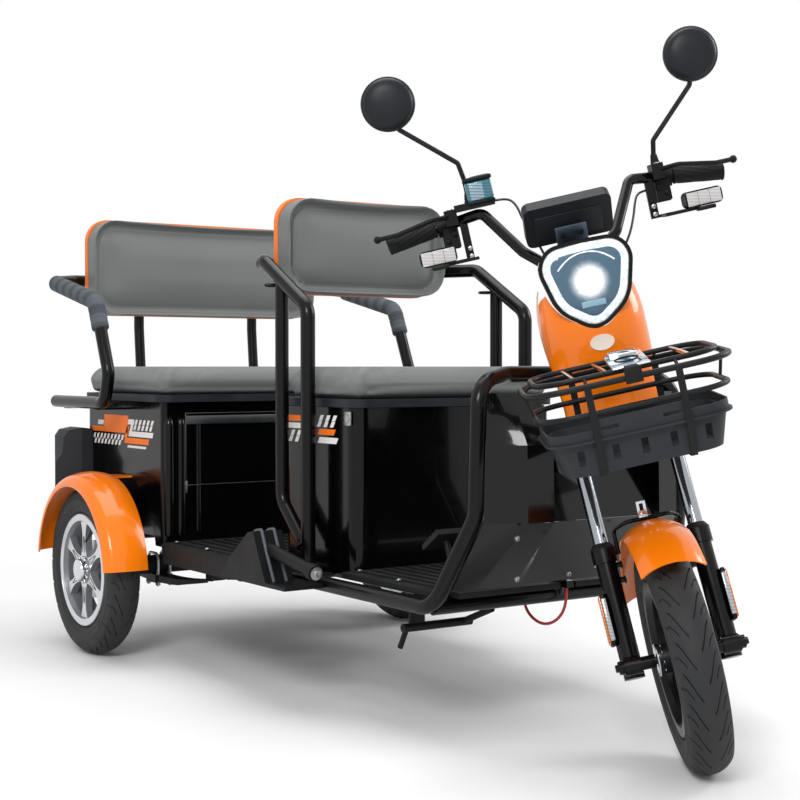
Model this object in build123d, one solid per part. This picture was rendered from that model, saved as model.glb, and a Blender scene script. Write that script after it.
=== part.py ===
from build123d import *
from math import cos, pi, radians, sin, sqrt, tan
import os

# Electric passenger tricycle, in millimetres: +X forward, +Y to its left, +Z up from the ground.
# While the pieces are modelled, x is measured forward from the rear axle. When they are written,
# all of them move back by AXLE_TO_MIDDLE, so that the origin lies under the middle of the whole.
# The steering is parked turned to the right: its pieces are modelled straight ahead, then turned.

# Driving dimensions: wheels and steering
WHEELBASE = 1645.0
WHEEL_OUTSET = 88.0
TYRE_RADIUS = 212.0
TYRE_WIDTH = 80.0
CROWN_RISE = 17.0
SHOULDER_HALF = 36.0
RIM_SEAT_RADIUS = 128.0
RIM_FLANGE_RADIUS = 140.0
RIM_WIDTH = 68.0
FLANGE_THICKNESS = 4.0
RIM_WALL = 10.0
FORK_TRAIL = 183.0
STEER_X = WHEELBASE - FORK_TRAIL
STEER_Z = 500.0
RAKE = 21.5
PARKED_STEER = -37.0
FORK_OFFSET = 40.0
FORK_HALF = 89.0
AXLE_TO_MIDDLE = 719.2

# Tubes and clearances
MAIN_TUBE = 16.0
POST_TUBE = 14.0
BRACE_TUBE = 11.0
BAR_TUBE = 11.0
SEAT_GAP = 0.3
RUNNING_GAP = 0.05
WALL = 3.0

# Chassis and deck
RAIL_Z = 265.0
RAIL_HALF = 180.0
DECK_TOP = 297.0
DECK_BOTTOM = RAIL_Z + MAIN_TUBE + SEAT_GAP
FRONT_CROSS_X = STEER_X - 222
REAR_CROSS_X = -250.0

# Head tube and the top of the leg guard hoop
HEAD_TUBE = 24.0
STEERER = 14.0
HEAD_LOW = 98.0
HEAD_HIGH = 345.0
HOOP_LEAN = 78.0
HOOP_TOP = (FRONT_CROSS_X + 45, 707.0)
HOOP_SHOULDER_Z = 690.0
HOOP_KNEE_Z = 440.0
GLAND_Z = 282.0

# Seat boxes
REAR_BOX_BACK = -250.0
REAR_BOX_FRONT = 215.0
REAR_BOX_HALF = 380.0
DRIVER_BOX_FRONT = FRONT_CROSS_X - 335
DRIVER_BOX_BACK = DRIVER_BOX_FRONT - 305
DRIVER_BOX_HALF = 265.0
SIDE_TUBE_Y = DRIVER_BOX_HALF + 50
BOX_TOP = 634.0
BOX_CORNER = 32.0
ARCH_X = -30.0
ARCH_Z = 245.0
ARCH_RADIUS = 205.0
ARCH_DEPTH = 90.0

# Rear fenders
FENDER_TOP = 246.0
FENDER_WALL = 3.0
FENDER_SWEEP = 168.0
TRACK = 2 * (REAR_BOX_HALF + WHEEL_OUTSET)

# Seats
LIP_HEIGHT = 18.0
PAD_TOP = 722.0
SEAT_OVERHANG = 14.0
SIDE_OVERHANG = 10.0
HINGE_PIN = 4.0
HINGE_OUT = 12.0
HINGE_RISE = 4.0
KNUCKLE = 8.0
KNUCKLE_LENGTH = 40.0
DRIVER_HINGE_Y = 146.0
REAR_HINGE_Y = 209.0

STEER_POINT = Vector(STEER_X, 0, STEER_Z)
STEER_DIR = Vector(-sin(radians(RAKE)), 0, cos(radians(RAKE)))
STEER_AXIS = Axis(STEER_POINT, STEER_DIR)

parts = {}


def steer_x(z):
    """Distance forward of the steering axis at a height."""
    return STEER_X - (z - STEER_Z) * tan(radians(RAKE))


def mirrored(shape):
    return mirror(shape, about=Plane.XZ)


def both_sides(shape):
    return Part() + [shape, mirrored(shape)]


def tube(points, radius, bend):
    """A round bar along straight runs with bends of one radius."""
    if len(points) == 2:
        path = Line(*points)
    else:
        path = FilletPolyline(*points, radius=bend)
    section = Plane(origin=path @ 0, z_dir=path % 0) * Circle(radius)
    return sweep(section, path=path)


def rod(start, end, radius):
    return tube([start, end], radius, 0)


def box_between(low, high):
    size = [b - a for a, b in zip(low, high)]
    middle = [(a + b) / 2 for a, b in zip(low, high)]
    return Pos(*middle) * Box(*size)


def across(y, x, z, radius, length):
    """A cylinder along Y, centred at y."""
    return Pos(x, y, z) * Rot(90, 0, 0) * Cylinder(radius, length)


# Front wheel height: the tyre's crown, leaning with the parked steering, just meets the ground
lean = abs(sin(radians(RAKE)) * sin(radians(PARKED_STEER)))
crown_radius = (SHOULDER_HALF ** 2 + CROWN_RISE ** 2) / (2 * CROWN_RISE)
parked_height = (TYRE_RADIUS - crown_radius) * sqrt(1 - lean ** 2) + crown_radius
straight_centre = Vector(WHEELBASE, 0, TYRE_RADIUS)
parked_centre = Vertex(*straight_centre).rotate(STEER_AXIS, PARKED_STEER).center()
FRONT_AXLE_Z = TYRE_RADIUS + parked_height - parked_centre.Z


# Tyres and rims, modelled about the Y axis with the outer side towards -Y
def tyre():
    seat = RIM_SEAT_RADIUS + SEAT_GAP
    bead = RIM_WIDTH / 2 - FLANGE_THICKNESS - SEAT_GAP
    flange_top = RIM_FLANGE_RADIUS + 2
    shoulder = TYRE_RADIUS - CROWN_RISE
    widest = TYRE_WIDTH / 2
    middle = (flange_top + shoulder) / 2
    outline = Polyline((-bead, flange_top), (-bead, seat), (bead, seat), (bead, flange_top))
    outline += ThreePointArc((bead, flange_top), (widest, middle), (SHOULDER_HALF, shoulder))
    outline += ThreePointArc((SHOULDER_HALF, shoulder), (0, TYRE_RADIUS), (-SHOULDER_HALF, shoulder))
    outline += ThreePointArc((-SHOULDER_HALF, shoulder), (-widest, middle), (-bead, flange_top))
    return revolve(make_face(Plane.YZ * outline), Axis.Y)


def rim_ring():
    half = RIM_WIDTH / 2
    step = half - FLANGE_THICKNESS
    inner = RIM_SEAT_RADIUS - RIM_WALL
    outline = Polyline(
        (-half, RIM_FLANGE_RADIUS), (-step, RIM_FLANGE_RADIUS), (-step, RIM_SEAT_RADIUS),
        (step, RIM_SEAT_RADIUS), (step, RIM_FLANGE_RADIUS), (half, RIM_FLANGE_RADIUS),
        (half, inner + 5), (half - 12, inner), (-half + 12, inner), (-half, inner + 5),
        close=True)
    return revolve(make_face(Plane.YZ * outline), Axis.Y)


def spokes(count, hub_radius, waist, foot, depth, outer_y):
    """Cast spokes that narrow to a waist and flare into the rim."""
    inner = hub_radius - 4
    outer = RIM_SEAT_RADIUS - RIM_WALL + 2
    middle = inner + (outer - inner) * 0.5
    side = ThreePointArc((foot / 2, inner), (waist / 2, middle), (foot / 2, outer))
    outline = side + Line((foot / 2, outer), (-foot / 2, outer))
    outline += ThreePointArc((-foot / 2, outer), (-waist / 2, middle), (-foot / 2, inner))
    outline += Line((-foot / 2, inner), (foot / 2, inner))
    spoke = extrude(Plane.XZ.offset(-outer_y - depth) * make_face(outline), depth)
    return [spoke.rotate(Axis.Y, 360 / count * i) for i in range(count)]


REAR_SHAFT = 12.0
HUB_RADIUS = 34.0
HUB_LENGTH = 62.0
DRUM_RADIUS = 72.0
DRUM_LENGTH = 36.0
CAP_RADIUS = 27.0
CAP_RISE = 16.0
SPOKE_DEPTH = 18.0


def rear_rim():
    half = RIM_WIDTH / 2
    face_y = -half + 6
    body = rim_ring() + spokes(6, HUB_RADIUS, 17, 40, SPOKE_DEPTH, face_y)
    body += across(0, 0, 0, HUB_RADIUS, HUB_LENGTH)
    body += across(half - DRUM_LENGTH / 2, 0, 0, DRUM_RADIUS, DRUM_LENGTH)
    cap_y = -HUB_LENGTH / 2 - CAP_RISE / 2
    body += fillet(across(cap_y, 0, 0, CAP_RADIUS, CAP_RISE).edges().group_by(Axis.Y)[0], 5)
    bore_length = HUB_LENGTH + 4
    body -= across(bore_length / 2 - HUB_LENGTH / 2 + 2, 0, 0, REAR_SHAFT + RUNNING_GAP, bore_length)
    return body


FRONT_SHAFT = 7.0
FRONT_HUB_RADIUS = 26.0
FRONT_HUB_LENGTH = 92.0


def front_rim():
    body = rim_ring() + spokes(6, FRONT_HUB_RADIUS, 16, 36, SPOKE_DEPTH * 1.6, -SPOKE_DEPTH * 0.8)
    body += across(0, 0, 0, FRONT_HUB_RADIUS, FRONT_HUB_LENGTH)
    body -= across(0, 0, 0, FRONT_SHAFT + RUNNING_GAP, FRONT_HUB_LENGTH + 2)
    return body


rear_tyre = tyre()
right_rim = rear_rim()
left_rim = mirrored(right_rim)
for side, y, rim in [("right", -TRACK / 2, right_rim), ("left", TRACK / 2, left_rim)]:
    parts["rear_tyre_" + side] = Pos(0, y, TYRE_RADIUS) * rear_tyre
    parts["rear_rim_" + side] = Pos(0, y, TYRE_RADIUS) * rim


# Rear axle: a live axle with its motor and gear case, backing plates and the stub shafts
AXLE_TUBE = 24.0
BACKING_RADIUS = 80.0
BACKING_THICKNESS = 8.0
MOTOR_RADIUS = 66.0
MOTOR_LENGTH = 150.0


def rear_axle():
    drum_inside = TRACK / 2 - RIM_WIDTH / 2
    plate_y = drum_inside - 5 - BACKING_THICKNESS / 2
    shaft_end = TRACK / 2 + HUB_LENGTH / 2 - 3
    body = across(0, 0, TYRE_RADIUS, AXLE_TUBE, 2 * plate_y)
    body += across(0, 0, TYRE_RADIUS, REAR_SHAFT, 2 * shaft_end)
    for y in (-plate_y, plate_y):
        body += across(y, 0, TYRE_RADIUS, BACKING_RADIUS, BACKING_THICKNESS)
    body += across(20, 0, TYRE_RADIUS, MOTOR_RADIUS, MOTOR_LENGTH)
    body += across(-85, 0, TYRE_RADIUS, MOTOR_RADIUS * 0.8, 60)
    return body


SPRING_Y = 290.0
SPRING_FRONT = 330.0
SPRING_BACK = -240.0
SPRING_EYE_Z = 222.0
SPRING_WIDTH = 40.0
EAR_THICKNESS = 6.0


def leaf_springs():
    """Three leaves on each side, clamped to the axle, with eyes in hangers under the frame."""
    spring = Part()
    leaf = 6.0
    width = SPRING_WIDTH
    eye = 12.0
    low = TYRE_RADIUS - AXLE_TUBE - SEAT_GAP
    for i, share in enumerate([1.0, 0.72, 0.45]):
        back = SPRING_BACK * share
        front = SPRING_FRONT * share
        rise = (SPRING_EYE_Z - eye + leaf / 2 - low) * share ** 2
        top = low - i * leaf
        upper = ThreePointArc((back, top + rise), (0, top), (front, top + rise))
        lower = ThreePointArc((front, top + rise - leaf), (0, top - leaf), (back, top + rise - leaf))
        outline = upper + Line((front, top + rise), (front, top + rise - leaf)) + lower
        outline += Line((back, top + rise - leaf), (back, top + rise))
        spring += Pos(0, width / 2 + SPRING_Y, 0) * extrude(Plane.XZ * make_face(outline), width)
    for x in (SPRING_BACK, SPRING_FRONT):
        spring += across(SPRING_Y, x, SPRING_EYE_Z, eye, width)
    clamp_low = (-28, SPRING_Y - width / 2 - 4, low - 3.5 * leaf)
    spring += box_between(clamp_low, (28, SPRING_Y + width / 2 + 4, low))
    return both_sides(spring)


def down_tube(radius):
    foot = (FRONT_CROSS_X, 0, RAIL_Z)
    head = STEER_POINT + STEER_DIR * (HEAD_LOW + 30)
    return tube([foot, (FRONT_CROSS_X + 35, 0, 400), (FRONT_CROSS_X + 45, 0, 600), tuple(head)], radius, 60)


def hoop_side(z):
    """The middle of the hoop's right upright at a height."""
    share = (z - HOOP_KNEE_Z) / (HOOP_SHOULDER_Z - HOOP_KNEE_Z)
    return (FRONT_CROSS_X + HOOP_LEAN - 6 * share, -(SIDE_TUBE_Y - 53 - 12 * share), z)


def hoop_tube(radius):
    """One bent tube: deck side, up past the toe board, over the driver's shins and down again."""
    half_path = [
        (DRIVER_BOX_BACK + 20, -SIDE_TUBE_Y, RAIL_Z), (FRONT_CROSS_X + 15, -SIDE_TUBE_Y, RAIL_Z),
        hoop_side(HOOP_KNEE_Z), hoop_side(HOOP_SHOULDER_Z), (HOOP_TOP[0], -165, HOOP_TOP[1])]
    points = half_path + [(x, -y, z) for x, y, z in reversed(half_path)]
    return tube(points, radius, 55)


def chassis_frame():
    z = RAIL_Z
    rails = rod((REAR_CROSS_X - 80, RAIL_HALF, z), (FRONT_CROSS_X, RAIL_HALF, z), MAIN_TUBE)
    body = both_sides(rails)
    hoop_room = hoop_tube(MAIN_TUBE + SEAT_GAP)
    cross_rows = [  # x, half length
        (REAR_CROSS_X, 330), (SPRING_FRONT, 350), (DRIVER_BOX_BACK - 40, 350),
        (DRIVER_BOX_BACK + 90, SIDE_TUBE_Y), (FRONT_CROSS_X, SIDE_TUBE_Y - 10)]
    for x, half in cross_rows:
        body += rod((x, -half, z), (x, half, z), MAIN_TUBE) - hoop_room
    for x in (SPRING_BACK, SPRING_FRONT):
        for y in (-SPRING_Y, SPRING_Y):
            for end in (-1, 1):
                ear_y = y + end * (SPRING_WIDTH / 2 + SEAT_GAP + EAR_THICKNESS / 2)
                ear_height = z - SPRING_EYE_Z + 14
                body += Pos(x, ear_y, z - ear_height / 2) * Box(28, EAR_THICKNESS, ear_height)
    head_low = STEER_POINT + STEER_DIR * HEAD_LOW
    head_high = STEER_POINT + STEER_DIR * HEAD_HIGH
    body += down_tube(MAIN_TUBE)
    body += box_between((FRONT_CROSS_X + 10, -9, GLAND_Z), (FRONT_CROSS_X + 44, 9, GLAND_Z + 14))
    brace_foot = (HOOP_TOP[0], 0, HOOP_TOP[1])
    body += rod(brace_foot, tuple(STEER_POINT + STEER_DIR * (HEAD_LOW + 75)), BRACE_TUBE) - hoop_room
    body += rod(tuple(head_low), tuple(head_high), HEAD_TUBE)
    return body - rod(tuple(head_low - STEER_DIR), tuple(head_high + STEER_DIR), STEERER + RUNNING_GAP)


parts["rear_axle"] = rear_axle()
parts["leaf_springs"] = leaf_springs()
parts["chassis_frame"] = chassis_frame()
parts["leg_guard_hoop"] = hoop_tube(MAIN_TUBE)


# Decks
def rounded_plate(x0, x1, half, z0, z1, corner):
    sketch = Pos((x0 + x1) / 2, 0) * RectangleRounded(x1 - x0, 2 * half, corner)
    return extrude(Plane.XY.offset(z0) * sketch, z1 - z0)


def ribs(x0, x1, half, top, pitch, width, height):
    count = int((2 * half) / pitch)
    return [box_between((x0, -half + pitch * (i + 0.5) - width / 2, top - 0.5),
                        (x1, -half + pitch * (i + 0.5) + width / 2, top + height)) for i in range(count)]


def driver_floor():
    x0 = DRIVER_BOX_FRONT + SEAT_GAP
    x1 = FRONT_CROSS_X
    half = SIDE_TUBE_Y - MAIN_TUBE - SEAT_GAP
    body = box_between((x0, -half, DECK_BOTTOM), (x1, half, DECK_TOP - 4))
    body += box_between((x0, 30 - half, DECK_BOTTOM), (x1 + 38, half - 30, DECK_TOP - 4))
    body += ribs(x0 + 20, x1 - 10, half - 20, DECK_TOP - 4, 30, 14, 4)
    body -= box_between((x1 - 20, -20, DECK_BOTTOM - 1), (x1 + 50, 20, DECK_TOP))
    return body


PASSENGER_HALF = REAR_BOX_HALF + 15
STEP_SKIRT = 50.0


def passenger_floor():
    x0 = REAR_BOX_FRONT + SEAT_GAP
    x1 = DRIVER_BOX_BACK - SEAT_GAP
    body = rounded_plate(x0, x1, PASSENGER_HALF, DECK_BOTTOM, DECK_TOP - 4, 25)
    skirt = rounded_plate(x0, x1, PASSENGER_HALF, DECK_TOP - STEP_SKIRT, DECK_BOTTOM + 1, 25)
    keep = PASSENGER_HALF - 43
    skirt -= box_between((x0 - 5, -keep, 0), (x1 + 5, keep, DECK_TOP))
    body += skirt
    for y in (-PASSENGER_HALF, PASSENGER_HALF):
        body -= across(y, 0, TYRE_RADIUS, FENDER_TOP + 2, 2 * (PASSENGER_HALF - REAR_BOX_HALF))
    return body + ribs(x0 + 35, x1 - 25, PASSENGER_HALF - 25, DECK_TOP - 4, 32, 14, 4)


parts["driver_floor"] = driver_floor()
parts["passenger_floor"] = passenger_floor()


# Seat boxes: hollow moulded shells, open at the top under the seats
def hinge_pins(x, spread):
    """Pins for the seat hinges, each held by two ears on the rear wall."""
    body = Part()
    z = BOX_TOP + HINGE_RISE
    for y in (-spread, spread):
        body += across(y, x - HINGE_OUT, z, HINGE_PIN, KNUCKLE_LENGTH + 8)
        for end in (-1, 1):
            middle = y + end * (KNUCKLE_LENGTH / 2 + 3)
            low = (x - HINGE_OUT - 7, middle - 2.5, z - 26)
            body += box_between(low, (x + WALL / 2, middle + 2.5, z + 5))
    return body


def hinge_knuckles(x, spread, plate_z):
    body = Part()
    z = BOX_TOP + HINGE_RISE
    for y in (-spread, spread):
        body += across(y, x - HINGE_OUT, z, KNUCKLE, KNUCKLE_LENGTH - 4)
        low = (x - HINGE_OUT, y - KNUCKLE_LENGTH / 2 + 2, z + 1)
        body += box_between(low, (x + 14, y + KNUCKLE_LENGTH / 2 - 2, plate_z))
        body -= across(y, x - HINGE_OUT, z, HINGE_PIN + RUNNING_GAP, KNUCKLE_LENGTH)
    return body


def box_shell(x0, x1, half, corner):
    outer = rounded_plate(x0, x1, half, DECK_BOTTOM, BOX_TOP, corner)
    inner = rounded_plate(x0 + WALL, x1 - WALL, half - WALL, DECK_BOTTOM + WALL, BOX_TOP + 1, corner - WALL)
    return outer, inner


def rear_box():
    outer, inner = box_shell(REAR_BOX_BACK, REAR_BOX_FRONT, REAR_BOX_HALF, 14)
    for y in (-REAR_BOX_HALF, REAR_BOX_HALF):
        depth = 2 * ARCH_DEPTH
        outer -= across(y, ARCH_X, ARCH_Z, ARCH_RADIUS, depth)
        inner -= across(y, ARCH_X, ARCH_Z, ARCH_RADIUS + WALL, depth + 2 * WALL)
    # Recessed panel with a frame in the front face
    frame_half = 300.0
    recess = 8.0
    low, high = DECK_TOP + 20, BOX_TOP - 40
    notch = box_between((REAR_BOX_FRONT - recess, -frame_half, low), (REAR_BOX_FRONT + 1, frame_half, high))
    outer -= notch
    inner -= box_between((REAR_BOX_FRONT - recess - WALL, -frame_half - WALL, low - WALL),
                         (REAR_BOX_FRONT + 1, frame_half + WALL, high + WALL))
    for y in (-frame_half + 18, frame_half - 18):
        outer += across_up(REAR_BOX_FRONT - recess, y, low, high, 7)
    return outer - inner + hinge_pins(REAR_BOX_BACK, REAR_HINGE_Y)


def across_up(x, y, z0, z1, radius):
    """A round post standing between two heights."""
    return Pos(x, y, (z0 + z1) / 2) * Cylinder(radius, z1 - z0)


def driver_box():
    outer, inner = box_shell(DRIVER_BOX_BACK, DRIVER_BOX_FRONT, DRIVER_BOX_HALF, BOX_CORNER)
    return outer - inner + hinge_pins(DRIVER_BOX_BACK, DRIVER_HINGE_Y)


parts["rear_box"] = rear_box()
parts["driver_box"] = driver_box()

# Battery pack: one block standing on the driver's box floor
BATTERY = (185.0, 390.0, 175.0)
battery_x = (DRIVER_BOX_BACK + DRIVER_BOX_FRONT) / 2
parts["battery_pack"] = Pos(battery_x, 0, DECK_BOTTOM + WALL + SEAT_GAP + BATTERY[2] / 2) * Box(*BATTERY)


# Seats: a stiff base with a lip, and a cushion on it
def seat(name, hinge_x, x1, half, hinge_y, corner):
    x0 = hinge_x + 8
    base_low = BOX_TOP + 1.5
    base_high = base_low + LIP_HEIGHT
    front = x1 + SEAT_OVERHANG
    side = half + SIDE_OVERHANG
    base = rounded_plate(x0, front, side, base_low, base_high, corner)
    # Underneath, the base is hollow inside its lip
    base -= rounded_plate(x0 + 12, front - 12, side - 12, base_low - 1, base_high - 6, corner - 10)
    base += hinge_knuckles(hinge_x, hinge_y, base_low + 8)
    pad = rounded_plate(x0, front, side, base_high + SEAT_GAP, PAD_TOP, corner)
    pad = fillet(pad.edges().group_by(Axis.Z)[-1], 16)
    parts[name + "_base"] = base
    parts[name + "_pad"] = pad


seat("driver_seat", DRIVER_BOX_BACK, DRIVER_BOX_FRONT, DRIVER_BOX_HALF, DRIVER_HINGE_Y, 40)
seat("rear_seat", REAR_BOX_BACK, REAR_BOX_FRONT + 14, REAR_BOX_HALF + 10, REAR_HINGE_Y, 40)


# Driver's seat guards: bent tubes beside the seat, joined behind the backrest
GUARD_Y = DRIVER_BOX_HALF + 35
GUARD_FRONT_X = DRIVER_BOX_BACK + 170
GUARD_BACK_X = DRIVER_BOX_BACK + 58
BACK_BAR_X = DRIVER_BOX_BACK - 130
BACK_BAR_Z = 960.0
GUARD_FALL = 0.574


def seat_guards():
    corner_x = DRIVER_BOX_BACK - 22
    top = [(BACK_BAR_X, 56 - GUARD_Y, BACK_BAR_Z), (corner_x, -GUARD_Y, BACK_BAR_Z),
           (GUARD_FRONT_X, -GUARD_Y, BACK_BAR_Z - (GUARD_FRONT_X - corner_x) * GUARD_FALL),
           (GUARD_FRONT_X, -GUARD_Y, DECK_BOTTOM)]
    body = tube([(x, -y, z) for x, y, z in reversed(top)] + top, MAIN_TUBE, 38)
    meet_z = BACK_BAR_Z - (GUARD_BACK_X - corner_x) * GUARD_FALL
    inner = tube([(GUARD_BACK_X, -GUARD_Y, meet_z), (GUARD_BACK_X, -GUARD_Y, 425),
                  (GUARD_FRONT_X - 6, -GUARD_Y, 328)], MAIN_TUBE - 1, 55)
    return body + both_sides(inner)


parts["seat_guards"] = seat_guards()


# Backrests: a padded front and a moulded cover behind it
def backrest(name, back_x, half, low, high, corner, thickness=50.0, cover=18.0):
    middle = Pos(0, (low + high) / 2)
    outline = middle * RectangleRounded(2 * half, high - low, corner)
    inset = middle * RectangleRounded(2 * half - 8, high - low - 8, corner - 4)
    shell = extrude(Plane.YZ.offset(back_x) * inset, cover)
    shell = fillet(shell.edges().group_by(Axis.X)[0], 10)
    pad = extrude(Plane.YZ.offset(back_x + cover + SEAT_GAP) * outline, thickness)
    pad = fillet(pad.edges().group_by(Axis.X)[-1], 18)
    parts[name + "_cover"] = shell
    parts[name + "_pad"] = pad


POST_Y = RAIL_HALF
POST_X = -362.0
backrest("driver_backrest", BACK_BAR_X + MAIN_TUBE + SEAT_GAP, 228, 886, 1122, 62)
backrest("rear_backrest", POST_X + MAIN_TUBE + SEAT_GAP, 352, 858, 1130, 66)


# Rear seat frame: two posts, a cross bar behind the backrest and the bent armrests
ARM_Y = REAR_BOX_HALF + 75
ARM_BEND = 42.0
ARM_TOP = [(-300, -ARM_Y, 948), (-16, -ARM_Y, 886), (64, -ARM_Y, 706)]
FOAM_OUTER = 22.0


def rear_seat_frame():
    path = [(POST_X, -372, 957)] + ARM_TOP + [(40, -ARM_Y, 630), (-285, -ARM_Y, 630)]
    points = [(x, -y, z) for x, y, z in reversed(path)] + path
    body = tube(points, MAIN_TUBE, ARM_BEND)
    foot_x = REAR_CROSS_X - 60
    post_path = [(POST_X, POST_Y, 1050), (POST_X, POST_Y, 830), (foot_x, POST_Y, DECK_BOTTOM + 3)]
    post = tube(post_path, POST_TUBE, 80)
    post += box_between((foot_x - 20, POST_Y - 20, DECK_BOTTOM), (foot_x + 24, POST_Y + 20, DECK_BOTTOM + 5))
    body += both_sides(post)
    for x in (-30, -215):
        tie = box_between((x - 15, REAR_BOX_HALF + SEAT_GAP, 612), (x + 15, ARM_Y, 617))
        body += both_sides(tie)
    return body


def between(a, b, share):
    return tuple(p + (q - p) * share for p, q in zip(a, b))


def armrest_foam():
    start = between(ARM_TOP[0], ARM_TOP[1], 0.06)
    end = between(ARM_TOP[1], ARM_TOP[2], 0.40)
    route = [start, ARM_TOP[1], end]
    sleeve = tube(route, FOAM_OUTER, ARM_BEND) - tube(route, MAIN_TUBE + SEAT_GAP, ARM_BEND)
    return both_sides(sleeve)


parts["rear_seat_frame"] = rear_seat_frame()
parts["armrest_foam"] = armrest_foam()


# Rear fenders: arched shells with a rolled outer flank, each held by a tab on the box's side
def rear_fenders():
    crown = FENDER_TOP
    outer_y = -TRACK / 2 - 67
    rows = []
    for wall in (0, FENDER_WALL):
        roof = ThreePointArc((outer_y + 105, crown - 8 - wall), (outer_y + 66, crown - wall),
                             (outer_y + 22 + wall, crown - 7 - wall))
        bulge = (outer_y + 6 + wall, crown - 17 - wall)
        flank = ThreePointArc(roof @ 1, bulge, (outer_y + wall, crown - 36))
        rows.append((roof, flank))
    (roof, flank), (roof_in, flank_in) = rows
    outline = roof + flank + Line(flank @ 1, flank_in @ 1) + flank_in + roof_in + Line(roof_in @ 0, roof @ 0)
    face = make_face(Plane.YZ * outline)
    arch = revolve(face, Axis.Y, FENDER_SWEEP)
    arch = arch.rotate(Axis.Y, -FENDER_SWEEP / 2 + 1)
    tab = box_between((-35, outer_y + 98, crown - 17), (35, -REAR_BOX_HALF - SEAT_GAP, crown - 12))
    return both_sides(Pos(0, 0, TYRE_RADIUS) * (arch + tab))


def tail_lamps():
    """Tapered pods behind the fenders, with a slanted front outer side."""
    inner_y = -REAR_BOX_HALF - SEAT_GAP
    outline = Polyline(
        (inner_y, 340), (inner_y - 110, 340), (inner_y - 98, 464), (inner_y - 80, 492), (inner_y - 75, 536),
        (inner_y - 62, 554), (inner_y - 30, 560), (inner_y, 556), close=True)
    pod = extrude(Plane.YZ.offset(-300) * make_face(outline), 85)
    plan = Polyline((-215, inner_y), (-215, inner_y - 32), (-240, inner_y - 96), (-300, inner_y - 74),
                    (-300, inner_y), close=True)
    pod &= extrude(Plane.XY.offset(300) * make_face(plan), 300)
    pod -= across(inner_y - 50, 0, TYRE_RADIUS, FENDER_TOP + SEAT_GAP, 160)
    return both_sides(pod)


parts["rear_fenders"] = rear_fenders()
parts["tail_lamps"] = tail_lamps()


# Parking brake beside the driver's box, and the foot brake with its linkage
def parking_brake():
    x = DRIVER_BOX_BACK
    inner_y = -SIDE_TUBE_Y - MAIN_TUBE - SEAT_GAP
    outer_y = inner_y - 94
    body = box_between((x, outer_y, 260), (x + 285, inner_y, 268))
    outline = Polyline((x + 6, 266), (x + 40, 302), (x + 128, 368), (x + 152, 372), (x + 172, 330),
                       (x + 206, 266), close=True)
    body += extrude(Plane.XZ.offset(-outer_y - 70) * make_face(outline), 70)
    lever_y = outer_y + 35
    body += rod((x + 140, lever_y, 336), (x + 330, lever_y, 306), 14)
    body += rod((x + 330, lever_y, 306), (x + 352, lever_y, 302.5), 17)
    return body


def foot_brake():
    z0 = DECK_TOP + SEAT_GAP
    x, y = FRONT_CROSS_X - 62, 85 - SIDE_TUBE_Y
    body = box_between((x + 18, y - 20, z0), (x + 48, y + 20, z0 + 5))
    body += rod((x + 34, y, z0 + 3), (x + 2, y, 384), 6)
    body += Pos(x, y, 384) * Rot(0, -35, 0) * Box(62, 74, 10)
    return body


def brake_linkage():
    z0 = RAIL_Z - MAIN_TUBE - SEAT_GAP
    x = FRONT_CROSS_X - 232
    body = box_between((x - 4, -198, 180), (x + 4, -162, z0))
    body += rod((x, -215, 182), (x, -40, 182), 9)
    body += rod((x, -60, 182), (x + 100, -60, 222), 7)
    body += rod((x, -205, 182), (x - 24, -205, 138), 6)
    return body


parts["parking_brake"] = parking_brake()
parts["foot_brake"] = foot_brake()
parts["brake_linkage"] = brake_linkage()


# Leg shield: faceted pillars beside the fork with a recess between them, and the apron below
SHIELD_LOW = 430.0
SHIELD_EDGE = 575.0
SHIELD_HIGH = 672.0
SHIELD_RECESS = 104.0
SHIELD_CORNERS = (190.0, 135.0)
APRON_LOW = 300.0


def set_in(points, distance):
    """An open outline moved sideways by a distance, with mitred corners."""
    normals = []
    for a, b in zip(points, points[1:]):
        along = Vector(b[0] - a[0], b[1] - a[1]).normalized()
        normals.append(Vector(-along.Y, along.X))
    moved = []
    for i, point in enumerate(points):
        before = normals[max(i - 1, 0)]
        after = normals[min(i, len(normals) - 1)]
        step = (before + after) * (distance / (1 + before.dot(after)))
        moved.append((point[0] + step.X, point[1] + step.Y))
    return moved


def wall_plan(half_plan, z):
    """A thin bent wall seen from above, from the right edge to the left one."""
    front = half_plan + [(x, -y) for x, y in reversed(half_plan)]
    back = set_in(front, WALL)
    return Plane.XY.offset(z) * make_face(Polyline(*front, *reversed(back), close=True))


def shield_plan(z, front):
    """From the hoop's upright round two corners to the recess behind the fork."""
    x, y, _ = hoop_side(z)
    beside = (MAIN_TUBE + SEAT_GAP + 0.1) / sqrt(2)
    front_x = FRONT_CROSS_X + front
    outer, inner = SHIELD_CORNERS
    recess = (steer_x(z) - SHIELD_RECESS, 3 - inner)
    return [(x + beside, y + beside), (front_x - 10, -outer), (front_x, -inner), recess]


SHIELD_FRONTS = (155.0, 152.0, 108.0)


def leg_shield():
    plans = [wall_plan(shield_plan(z, front), z)
             for z, front in zip((SHIELD_LOW, SHIELD_EDGE, SHIELD_HIGH), SHIELD_FRONTS)]
    body = loft(plans[:2], ruled=True) + loft(plans[1:], ruled=True)
    opening = SHIELD_CORNERS[1] - 9
    body -= box_between((FRONT_CROSS_X + 10, -opening, SHIELD_EDGE - 5),
                        (FRONT_CROSS_X + 210, opening, SHIELD_HIGH + 5))
    return body - hoop_tube(MAIN_TUBE + SEAT_GAP)


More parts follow.
